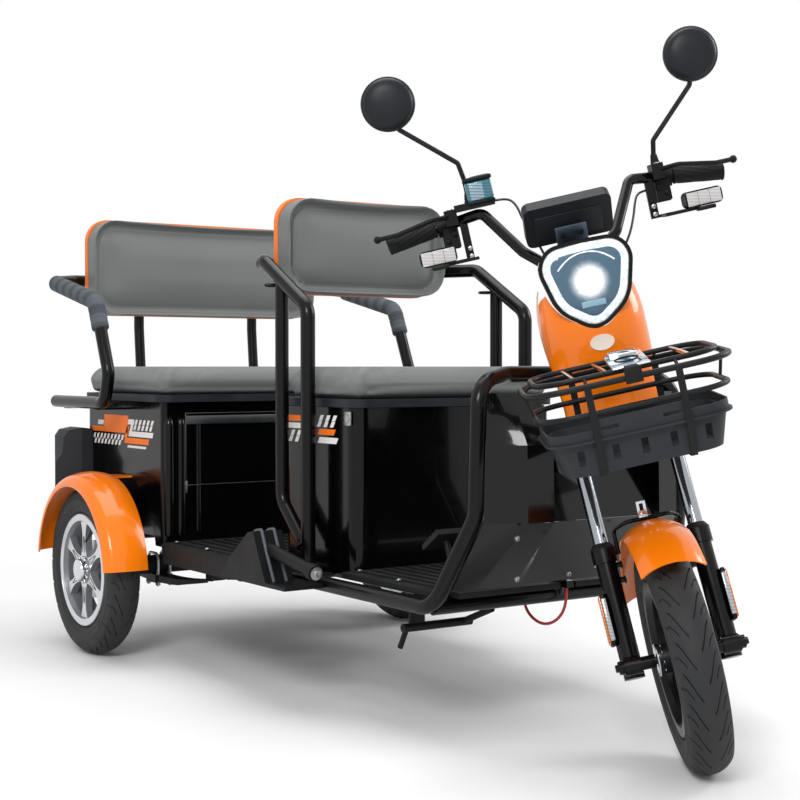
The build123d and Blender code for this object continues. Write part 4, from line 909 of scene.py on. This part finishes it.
# Parking brake: a stepped moulded shroud on the step, with worn grey ribs, and a lever
# with a zinc-plated release button at its end.
dress(black_plastic, "parking_brake")
shroud_rib = moulded("worn_grey_nylon_rib", "#4A4D52", "#6A6E75", 0.35, 0.5, 1.0)
settle([bent_wire([(x, y, z) for x, z in [
    (-0.1172, 0.2665), (-0.0812, 0.3035), (0.0068, 0.3695), (0.0308, 0.3735), (0.0508, 0.3315), (0.0845, 0.2675)]],
    0.0042, order=2, sides=2) for y in (-0.404, -0.3735)], "brake_shroud_ribs", shroud_rib, "chassis")
settle(turned_part((0.2325, -0.3903, 0.30285), (0.3, 0, -0.0475), [
    (0, 12.5), (2, 13.5), (4, 13.5), (4.5, 8), (8.5, 7.8), (9.5, 6), (9.2, 3)], 32),
    "brake_release_button", zinc_plate, "chassis")


# Foot brake: a folded steel pedal with a ribbed rubber pad, which pulls on the linkage
# under the floor.
dress(axle_paint, "foot_brake", "brake_linkage")
pedal_rubber = moulded("black_pedal_rubber", "#171718", "#262627", 0.65, 0.85, 0.9)
pedal_turn = radians(-35)
pedal = Matrix.Translation((0.4588, -0.23, 0.384)) @ Matrix.Rotation(pedal_turn, 4, "Y")
settle([plate_part(pedal @ Vector((step * 0.0115, 0, 0.0065)), (6, 70, 5), 1.2, turn=pedal_turn)
        for step in (-2, -1, 0, 1, 2)], "pedal_pad_ribs", pedal_rubber, "chassis")


# Tyres: moulded rubber on all three wheels, with a smooth centre band, long curved sipes
# and shoulder slots, and fine rings round the sidewalls.
def tyre_rubber():
    # carbon-black rubber: dull, pebbled near 1 mm, greyer where it is dusty
    material, shader = new_finish("carbon_black_tyre_rubber", Specular_IOR_Level=0.35)
    dust = noise(shader, 16, 5, 0.7)
    tinted(shader, dust, "#1B1B1C", "#2F3032")
    roughen(shader, dust, 0.55, 0.8)
    relief(shader, cells(shader, 850), 0.4, 0.0004)
    return material


def smooth_step(value, low, high):
    share = np.clip((value - low) / (high - low), 0, 1)
    return share * share * (3 - 2 * share)


def arc_height(value, half_chord, height):
    """How far an arc of this half chord and height stands below its top, at a value along it."""
    radius = (half_chord ** 2 + height ** 2) / (2 * height)
    return radius - np.sqrt(np.maximum(radius ** 2 - value ** 2, 0))


def treaded_tyre(middle, pitches):
    """A tyre with its tread cut in, in mm: rings of section points that follow the sipes' lean."""
    outer, widest, bead, half_width = 212, 168.5, 142, 40
    tread_y = np.array([0, 3, 6.5, 7.3, 8.6, 10.5, 13, 16, 19, 21.5, 23.4, 24.2, 25.4, 27.5, 29.6, 30.6, 31.6, 33.6,
                        35.2])
    tread_r = outer - arc_height(tread_y, 36, 17)
    wall_r = np.array([195, 193, 190.6, 189.8, 186, 182, 176.6, 175.8, 175, 170, 164, 158.6, 157.8, 157, 152, 147.6,
                       146.8, 146, 142, 135, 128.4])
    wall_y = half_width - np.where(wall_r > widest, arc_height(wall_r - widest, 195 - widest, 4),
                                   arc_height(wall_r - widest, widest - bead, 10.3))
    wall_y[wall_r < bead] = 29.7
    # three fine rings stand on each sidewall
    wall_y[[6, 8, 11, 13, 15, 17]] += 0.1
    wall_y[[7, 12, 16]] += 0.6
    half_y = np.concatenate([tread_y, wall_y])
    half_r = np.concatenate([tread_r, wall_r])
    section_y = np.concatenate([-half_y[:0:-1], half_y])
    section_r = np.concatenate([half_r[:0:-1], half_r])
    across = np.stack([np.gradient(section_y), np.gradient(section_r)], axis=1)
    across /= np.linalg.norm(across, axis=1, keepdims=True)
    normal_y, normal_r = -across[:, 1], across[:, 0]
    phases = np.array([-0.05, -0.028, 0.028, 0.05, 0.16, 0.3, 0.4, 0.45, 0.472, 0.528, 0.55, 0.62, 0.72, 0.84])
    stations = (np.arange(pitches)[:, None] + phases).ravel()[:, None]
    phase = np.mod(stations + np.where(section_y < 0, 0.5, 0.0) + 0.5, 1) - 0.5
    half_phase = np.mod(phase, 1) - 0.5
    reach = np.abs(section_y)
    # sipes start beside the centre band; slots lie between them, over the shoulder
    sipe = (1 - smooth_step(np.abs(phase), 0.028, 0.05)) * smooth_step(reach, 7.3, 8.6)
    sipe *= np.where(reach < 29.6, 1, 1 - smooth_step(reach, 29.6, 31.6)) * (section_r > 184)
    slot = (1 - smooth_step(np.abs(half_phase), 0.028, 0.05)) * smooth_step(reach, 21.5, 23.4)
    slot *= smooth_step(section_r, 184, 191)
    depth = np.maximum(3.4 * sipe, 2.6 * slot)
    lean = -42 * smooth_step(reach, 4, 34) - 0.5 * np.minimum(reach, 31)
    angle = stations * 2 * pi / pitches + lean / outer
    radius = section_r - normal_r * depth
    places = np.stack([radius * np.sin(angle), section_y - normal_y * depth, radius * np.cos(angle)], axis=2) + middle
    rings, points = len(stations), len(section_y)
    starts = [(i * points, (i + 1) % rings * points) for i in range(rings)]
    faces = [[a + j, a + j + 1, b + j + 1, b + j] for a, b in starts for j in range(points - 1)]
    faces += [[a, b, b + points - 1, a + points - 1] for a, b in starts]
    return add_mesh((places.reshape(-1, 3) / 1000).tolist(), faces)


rubber = tyre_rubber()
for name, node, body, place, pitches in [
        ("rear_tread_right", "rear_tyre_right", "rear_wheel_right", (-719.2, -468, 212), 20),
        ("rear_tread_left", "rear_tyre_left", "rear_wheel_left", (-719.2, 468, 212), 20),
        ("front_tread", "front_tyre", "front_wheel", (925.8, 0, 212.703), 24)]:
    tread = settle(treaded_tyre(place, pitches), name, rubber, body, smooth=35)
    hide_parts(node)


# Wheels: cast aluminium. The rear ones have faces machined bright and the rest painted
# slate, with a chromed hub ring, a domed cap and a rubber valve; the front one is black.
def cast_wheel(name, face, dark, light):
    # cast aluminium: lathe marks 0.5 mm apart on the faces, satin paint elsewhere
    material, shader = new_finish(name)
    normal = add_node(shader, "ShaderNodeTexCoord").outputs["Normal"]
    aim = add_node(shader, "ShaderNodeSeparateXYZ", links={0: normal}).outputs["Y"]
    side = add_node(shader, "ShaderNodeMath", links={0: aim}, operation="ABSOLUTE").outputs[0]
    machined = add_node(shader, "ShaderNodeMapRange", {"From Min": 0.75, "From Max": 0.92}, {"Value": side}).outputs[0]
    marks = noise(shader, 30, 4)
    paint = tinted(shader, marks, dark, light)
    tint = add_node(shader, "ShaderNodeMix", {7: linear(face)}, {0: machined, 6: paint}, data_type="RGBA")
    shader.id_data.links.new(tint.outputs[2], shader.inputs["Base Color"])
    add_node(shader, "ShaderNodeMapRange", {"To Min": 0.15, "To Max": 0.95}, {"Value": machined},
             shader.inputs["Metallic"])
    roughen(shader, marks, 0.3, 0.42)
    relief(shader, noise(shader, 260, 3), 0.12, 0.0003)
    return material


dress(cast_wheel("machined_cast_aluminium", "#D4D6D9", "#6F7276", "#84878B"), "rear_rim_right", "rear_rim_left")
dress(cast_wheel("satin_black_cast_aluminium", "#1A1A1B", "#141415", "#1E1E1F"), "front_rim")
chrome = bright_metal("chromed_steel", "#D3D6DA", 0.06, 0.14, 1.5, 0.05)
# matt near-black for the spoke grooves: painted shade, darker than the wheel's own slate paint
groove_shade = moulded("matt_painted_groove_shade", "#101011", "#1C1C1D", 0.6, 0.75, 1.5)


def on_wheel(turn, radius, y, aside=0.0):
    """A place on the right rear wheel, turned from the top, with a step aside from its spoke."""
    return (axle_x + radius * sin(turn) + aside * cos(turn), y, axle_z + radius * cos(turn) - aside * sin(turn))


outward = (0, -1, 0)
hub_parts = [turned_part(on_wheel(0, 0, -0.5005), outward, [
    (0, 28.5), (9.8, 28.3), (13.4, 26.2), (14.6, 22.5), (15.1, 17), (15.2, 8), (15.2, 0.4)], 64)]
hub_parts += [turned_part(on_wheel(i * pi / 6, 0.0312, -0.498), outward, [(0, 3.6), (3, 3.5), (4.6, 2.6), (5, 1)], 16)
              for i in range(12)]
hub_parts.append(bent_wire([on_wheel(i * pi / 16, 0.1389, -0.502) for i in range(32)], 0.0014, True))
# a thin black line traces the V groove on each spoke: it is painted shade of the groove, laid on the face
spoke_vee = [(-0.0068, 0.044), (-0.0018, 0.082), (0, 0.0845), (0.0018, 0.082), (0.0068, 0.044)]
grooves = [bent_wire([on_wheel(i * pi / 3, radius, -0.49615, aside) for aside, radius in spoke_vee], 0.0009, sides=1)
           for i in range(6)]
valve_turn = 0.52
valve = turned_part(on_wheel(valve_turn, 0.1165, -0.4985), (-sin(valve_turn), -0.35, -cos(valve_turn)), [
    (0, 5.2), (8, 4.5), (19, 3.1), (24, 3), (24.5, 3.4), (32, 3.3), (33, 2.2)], 20)
for parts, name, material, slot in [
        (hub_parts, "hub_trim", chrome, "chrome"), (grooves, "spoke_groove_shade", groove_shade, "rim_silver"),
        (valve, "tyre_valve", rubber, "tyre")]:
    near = settle(parts, name + "_right", material, "rear_wheel_right")
    settle(other_side(near), name + "_left", material, "rear_wheel_left")


# Leg shield: gloss black panels between the hoop and the steering head, held by screws
# with flat washers.
dress(gloss_abs("deep_gloss_black_abs", "#060708", 0.1, 0.18, 0.35), "leg_shield", "leg_apron")
settle([pan_screw((0.6768, side * y, z), (1, 0, 0), 4) for side in (-1, 1)
        for y, z in [(0.225, 0.405), (0.225, 0.33), (0.1, 0.33)]],
       "shield_screws", zinc_plate, "chassis")


# Fork and stem: chromed stanchions slide in black painted legs with rubber wipers, on a
# black axle with hexagon nuts. Each leg has an amber and a white reflector.
def along_fork(along, forward, y):
    """A place measured along the steering axis, in millimetres, in metres."""
    return ahead(-sin(rake) * along + cos(rake) * forward, y, 500 + cos(rake) * along + sin(rake) * forward)


dress(black_enamel, "steering_stem", "handlebar", "fork_legs", "front_axle")
dress(bright_metal("hard_chromed_steel", "#A4A8AE", 0.08, 0.16, 1.5, 0.05), "fork_stanchions")
wiper_rubber = moulded("black_wiper_rubber", "#131314", "#1F1F20", 0.5, 0.7, 0.8)
white_lens = lamp_lens("white_acrylic_reflector", "#9B9EA3", "#B9BCC0")
wheel_x, wheel_z, reflector_at = 183, 212.7, -244
wipers, nuts, hub_rings, holders, ambers, whites = [], [], [], [], [], []
for side in (-1, 1):
    aside = (0, side, 0)
    wipers.append(turned_part(along_fork(-116.8, 40, side * 89), steer_axis, [
        (0, 22.6), (3, 22.6), (5.5, 20.5), (9, 18.2), (11.5, 16.3), (11.8, 14.6)], 48))
    nuts.append(turned_part(ahead(wheel_x, side * 104.2, wheel_z), aside, [(0, 14.8), (2.2, 14.8), (2.4, 12.8)], 40))
    nuts.append(turned_part(ahead(wheel_x, side * 106.5, wheel_z), aside, [
        (0, 11.6), (0.6, 12.4), (8.2, 12.4), (9, 11.6), (9.2, 7.3), (13.5, 7.2), (14.5, 6.4)], 6))
    hub_rings.append(turned_part(ahead(wheel_x, side * 35, wheel_z), aside, [
        (0, 26.2), (0.5, 28.5), (1.5, 29.2), (9.5, 29.2), (10.8, 28.2), (11.2, 20)], 56))
    for shelf, forward, y, size, edge in [
            (holders, 40, 111.5, (34, 9, 96), 3), (ambers, 39, 117.2, (30, 4.5, 88), 1.6),
            (whites, 57.6, 111.2, (3.5, 8.5, 78), 1.2)]:
        shelf.append(plate_part(along_fork(reflector_at, forward, side * y), size, edge, turn=-rake))
settle(wipers, "fork_wipers", wiper_rubber, "steering")
settle(nuts, "front_axle_nuts", black_enamel, "steering")
settle(hub_rings, "front_hub_rings", chrome, "front_wheel")
settle(holders, "fork_reflector_holders", black_plastic, "steering")
settle(ambers, "fork_reflectors_amber", amber_lens, "steering")
settle(whites, "fork_reflectors_white", white_lens, "steering")


# Front fender and its brace: lacquered steel on a black bent bar, bolted to studs on the
# legs, with a chromed cable clip on the bar's top.
dress(black_enamel, "fender_brace")
settle([turned_part(along_fork(along, 40, side * 73), (0, -side, 0),
                    [(0, 6), (9, 6), (9.5, 7.8), (12.5, 7.8), (13.2, 6)], 6)
        for side in (-1, 1) for along in (-150, -178)], "fender_studs", black_enamel, "steering")
settle(plate_part(ahead(129.2, -9, 479), (1.2, 7, 13), 0.5), "fender_clip_slot", black_plastic, "steering")
settle([plate_part(ahead(124, -9, 461.5), (20, 17, 2.2), 0.8), plate_part(ahead(128, -9, 475), (2.2, 17, 30), 0.9)],
       "fender_cable_clip", chrome, "steering")


# Grips: black rubber sleeves pushed onto the bar, with slanting ribs and a thicker rim
# at each end.
def grip_radius(s, whole, turn):
    """The grip's radius: a rim and a rounding at both ends, and slanting ribs between them."""
    end = min(s, whole - s)
    body = 0.0164 + 0.0018 * exp(-((end - 0.003) / 0.0032) ** 2)
    rounding = 0.003 * (1 - sqrt(max(0.0, 1 - (1 - min(end / 0.003, 1)) ** 2)))
    rib = max(0.0, cos(12 * turn + s * 150)) ** 0.5 * 0.0011 if 0.009 < end else 0
    return body - rounding + rib


grip_outer, grip_inner = Vector((-297, -350, 1039)), Vector((-302, -240, 1055))
grip_rubber = moulded("ribbed_black_grip_rubber", "#161617", "#232324", 0.6, 0.8, 0.9)
right_grip = sleeve([ahead(*grip_outer.lerp(grip_inner, share)) for share in (-0.02, 0.3, 0.6, 0.92)],
                    grip_radius, 0.0016, sides=96)
left_grip = other_side(right_grip)
settle(right_grip, "throttle_grip", grip_rubber, "steering", smooth=50)
settle(left_grip, "bar_grip", grip_rubber, "steering", smooth=50)
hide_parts("grips")


# Bar controls: moulded nylon switch blocks, brake levers with ball ends, and the fluid
# reservoir of the front brake, with its sight glass.
dress(black_plastic, "bar_controls", "aux_lamps")
sight_glass = lamp_lens("blue_tinted_sight_glass", "#5E7C8C", "#9DB8C4")
tinted_case = lamp_lens("teal_polycarbonate", "#1F5C6B", "#2E7A8A")
upward = (0, 0, 1)
switch_parts, screw_parts = [], []
for side in (-1, 1):
    switch_parts += [
        plate_part(ahead(-300, side * 221, 1030), (26, 34, 50), 5, 3),
        plate_part(ahead(-279, side * 214, 1036), (10, 12, 14), 3),
        plate_part(ahead(-279, side * 228, 1022), (8, 10, 10), 2.5),
        turned_part(ahead(-286, side * 203, 1052), (0.7, 0, 0.7), [(0, 7.5), (9, 7.5), (10.5, 6)], 24)]
    screw_parts.append(turned_part(ahead(-262, side * 214, 1075.5), upward, [
        (0, 8.5), (4, 8.5), (4.5, 6), (9.5, 5.8), (10.5, 4.5)], 6))
    screw_parts += [turned_part(ahead(-251, side * 190, z), (1, 0, 0), [(0, 5), (3.5, 5), (4.2, 3)], 6)
                    for z in (1000, 984)]
cap_parts = [
    turned_part(ahead(-258, -142, 1131), upward, [(0, 21.8), (1.8, 22.2), (6, 22.2), (7.5, 20.5), (8.5, 19.5)], 48),
    plate_part(ahead(-258, -163, 1083), (30, 50, 11), 3), plate_part(ahead(-256, -148, 1133.5), (50, 58, 9), 3, 3),
    plate_part(ahead(-256, -148, 1086.5), (46, 56, 5), 1.5)]
settle(switch_parts, "switch_blocks", black_plastic, "steering")
settle(cap_parts, "reservoir_cap", black_plastic, "steering")
settle(screw_parts, "control_screws", zinc_plate, "steering")
settle(plate_part(ahead(-233.4, -154, 1108.5), (3.5, 28, 34), 1.5, 3), "reservoir_glass", sight_glass,
       "steering")
settle(plate_part(ahead(-256, -148, 1109), (44, 54, 42), 6, 4), "reservoir_sides", tinted_case,
       "steering")


# Mirrors: domed black nylon backs on thin bent stalks, with a silvered glass that faces
# the driver and a rubber boot at each stalk's foot.
satin_black = moulded("satin_black_nylon", "#1B1D20", "#25272B", 0.3, 0.42, 1.1)
dress(satin_black, "mirrors")
silvered = bright_metal("silvered_mirror_glass", "#E4E8EA", 0.02, 0.03, 3.0, 0.0)
domes, glasses = [], []
for y, z in ((-290, 1314), (316, 1278)):
    domes.append(turned_part(ahead(-206.5, y, z), (1, 0, 0), [
        (0, 50.5), (3, 49.2), (6.5, 46.2), (9.8, 40.5), (12.2, 32.5), (13.8, 22.5), (14.6, 11), (14.8, 1)], 72))
    domes.append(turned_part(ahead(-219.2, y, z), (1, 0, 0), [
        (0, 51.5), (-1.4, 52.5), (-1.8, 53.7), (0.5, 54.5), (4.5, 54.5)], 72))
    glasses.append(turned_part(ahead(-218.6, y, z), (-1, 0, 0), [
        (0, 51.3), (0.4, 50.8), (0.8, 36), (1, 18), (1.1, 1)], 72))
boots = [turned_part(ahead(*place), upward, [
    (0, 9.5), (4, 9.2), (6, 8), (9, 8.4), (12, 7.2), (15, 7.4), (19, 5.8), (21, 5.5)], 24)
    for place in ((-262, -172, 1090), (-270, 214, 1084))]
settle(domes, "mirror_backs", satin_black, "steering", smooth=50)
settle(glasses, "mirror_glasses", silvered, "steering", smooth=50)
settle(boots, "mirror_boots", wiper_rubber, "steering")


# Display: a moulded slab above the steering head on a plated bracket. Its screen faces
# the driver, and its back has a raised panel.
dress(satin_black, "display")
display_turn, bracket_turn = radians(38), radians(20)
display_at = Matrix.Translation(ahead(-123, 0, 1016)) @ Matrix.Rotation(display_turn, 4, "Y")


def display_plate(x, z, size, edge, segments=2):
    return plate_part(display_at @ Vector((x, 0, z)), size, edge, segments, display_turn)


def smoked_glass():
    # smoked acrylic over a dark screen: near-mirror, with a faint blue cast in patches
    material, shader = new_finish("smoked_display_glass", Roughness=0.06, Coat_Weight=1.0)
    tinted(shader, noise(shader, 12, 3), "#0A1016", "#16212B")
    return material


blued_steel = bright_metal("blue_grey_plated_steel", "#5D6C7B", 0.32, 0.45, 1.0)
settle([display_plate(0.0128, -0.006, (2.8, 132, 58), 1.1, 3), display_plate(-0.0118, 0, (1.8, 150, 78), 0.8)],
       "display_panels", satin_black, "steering")
settle(display_plate(-0.0125, 0, (2, 126, 62), 0.8), "display_screen", smoked_glass(), "steering")
settle(plate_part(ahead(-109, 0, 985), (4.5, 62, 36), 1.6, turn=bracket_turn), "display_bracket", blued_steel,
       "steering")
settle([turned_part(ahead(-106.8, y, 985), (cos(bracket_turn), 0, -sin(bracket_turn)), [
    (0, 6.2), (4.2, 6.2), (5, 5)], 6) for y in (-18, 18)], "display_bolts", black_plastic, "steering")


# Headlight: a black housing with a bright rim, a ring light round the edge, and an inner
# reflector with a lit bulb chamber under clear acrylic.
dress(box_gloss, "headlight_housing")
lamp_z = 892


def lamp_ring(rows, steps=120):
    """A skin over rows of (inset, x): three round corners under one tight skin, closed in its middle."""
    turns = np.arange(steps) * 2 * pi / steps
    places = []
    for inset, x in rows:
        reach = np.max([y * np.cos(turns) + z * np.sin(turns) + r - inset
                        for y, z, r in [(-43, 32, 46), (43, 32, 46), (0, -42, 46), (0, 0, 80)]], axis=0)
        drift = (np.roll(reach, -1) - np.roll(reach, 1)) / (4 * pi / steps)
        places += [tuple(ahead(x, y, z + lamp_z)) for y, z in zip(
            reach * np.cos(turns) - drift * np.sin(turns), reach * np.sin(turns) + drift * np.cos(turns))]
    last = (len(rows) - 1) * steps
    faces = [[i + j, i + (j + 1) % steps, i + steps + (j + 1) % steps, i + steps + j]
             for i in range(0, last, steps) for j in range(steps)]
    return add_mesh(places, faces + [list(range(steps)), list(range(last, last + steps))])


def ring_light():
    # opal light guide: milky acrylic, lit, with prisms 4 mm wide along it
    material, shader = new_finish("opal_light_guide", Roughness=0.25, Emission_Strength=0.4)
    prisms = cells(shader, 120)
    for socket in ("Base Color", "Emission Color"):
        tinted(shader, prisms, "#FFFFFF", "#A9C2CF", socket)
    return material


def lamp_glow(middle):
    # vacuum-plated reflector under acrylic: blue-grey, and lit to white round the bulb
    material, shader = new_finish("lit_lamp_reflector", Roughness=0.15, Coat_Weight=0.3)
    offset = add_node(shader, "ShaderNodeVectorMath", {1: middle}, {0: own_place(shader)}, operation="SUBTRACT")
    far = add_node(shader, "ShaderNodeVectorMath", links={0: offset.outputs[0]}, operation="LENGTH").outputs["Value"]
    edge = maths(shader, "ADD", far, maths(shader, "MULTIPLY", noise(shader, 90), 0.006))
    glow = add_node(shader, "ShaderNodeMapRange", {"From Min": 0.014, "From Max": 0.046, "To Min": 1.0, "To Max": 0.0},
                    {"Value": edge}, shader.inputs["Emission Strength"], interpolation_type="SMOOTHSTEP").outputs[0]
    for socket in ("Base Color", "Emission Color"):
        tinted(shader, glow, "#44657A", "#FFFFFF", socket)
    return material


opal = ring_light()
facet_blue = gloss_abs("light_blue_lamp_facet", "#8FB3C7", 0.12, 0.22)
halo = settle(lamp_ring([(9, -3.5), (8, 2.5), (10, 4.8), (15, 5.4), (22, 4.2), (23, 1)]), "headlight_halo", opal,
              "steering", smooth=40)
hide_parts("headlight_lens")
settle(lamp_ring([(23, 0), (22.6, 4.4), (26, 5.6), (34, 6.4), (42, 6.8)]), "headlight_reflector",
       lamp_glow(parked @ ahead(7, 0, lamp_z)), "steering", smooth=40)
settle(lamp_ring([(6.5, -1), (5.6, 1.2), (5.0, 1.6), (4.3, 1.2), (4.0, -1)]), "headlight_rim", chrome,
       "steering", smooth=40)
settle(bent_wire([ahead(7.6, y, z) for y, z in [(-54, 922), (-36, 940), (0, 949), (36, 940), (54, 922)]], 0.0016),
       "headlight_arc", opal, "steering")
settle(plate_part(ahead(7.2, 0, 850), (4, 46, 12), 1.9, 3), "headlight_facet", facet_blue, "steering")


# Nose badge: a plain cream oval disc of enamelled metal, set in the cowl, with a fine
# raised edge.
badge = turned_part((0, 0, 0), (1, 0, 0), [(0, 1000), (400, 1000), (700, 970), (620, 930), (620, 1)], 64)
badge.data.transform(Matrix.Translation(ahead(13.2, -1, 776)) @ Matrix.Diagonal((0.003, 0.023, 0.015, 1)))
cream_enamel = gloss_abs("cream_enamelled_plate", "#F1E3D6", 0.2, 0.3)
settle(badge, "cowl_badge", cream_enamel, "steering")


# Front basket: a black plastic-coated wire rack over a moulded tray, with four chromed
# cross wires, a chromed latch plate and a rubber flap at the front.
dress(moulded("black_coated_wire", "#141415", "#202123", 0.32, 0.45, 1.3, 0.15), "basket_wire")
dress(moulded("charcoal_polypropylene", "#25272A", "#313438", 0.42, 0.58, 1.2), "basket_tray")
latch_turn = radians(9)
rack_parts = [
    bent_wire([ahead(x, y, z) for x, z in [(back, 745.5), (130, 746.5), (250, 746.5), (front, 745.5)]], 0.0034)
    for y, back, front in [(-94, 94, 284), (-38, 94, 284), (40, 94, 284), (105, 98, 280)]]
rack_parts += [plate_part(ahead(246, 4, 757), (104, 66, 3.5), 1.6, 3, latch_turn),
               plate_part(ahead(206, 4, 766), (30, 50, 5), 2.2, 3, latch_turn)]
ring_line = [ahead(250 + 16 * cos(a), 4 + 22 * sin(a), 758.8 - 16 * cos(a) * 0.158) for a in np.arange(8) * pi / 4]
settle(rack_parts, "basket_latch_and_wires", chrome, "steering")
settle(bent_wire(ring_line, 0.0012, True), "basket_latch_ring", black_plastic, "steering")
settle([plate_part(ahead(313, 2, 736), (5, 30, 28), 2.2, 4), plate_part(ahead(300, 2, 749.5), (26, 24, 4), 1.8, 3)],
       "basket_flap", wiper_rubber, "steering")


# Small side lamps: clear acrylic lenses with three cells in black moulded boxes, which
# hang under the bar on black arms.
clear_cell = lamp_lens("clear_acrylic_lens", "#B4B2B4", "#C9C7C4")
settle([plate_part(ahead(-95.4, side * 261 + dy, 997), (3.5, 21.6, 26), 0.8, 3)
        for side in (-1, 1) for dy in (-22, 0, 22)], "side_lamp_lenses", clear_cell, "steering")
settle([plate_part(ahead(-96, side * 261, 976.5), (30, 34, 8), 2.5) for side in (-1, 1)],
       "side_lamp_feet", black_plastic, "steering")
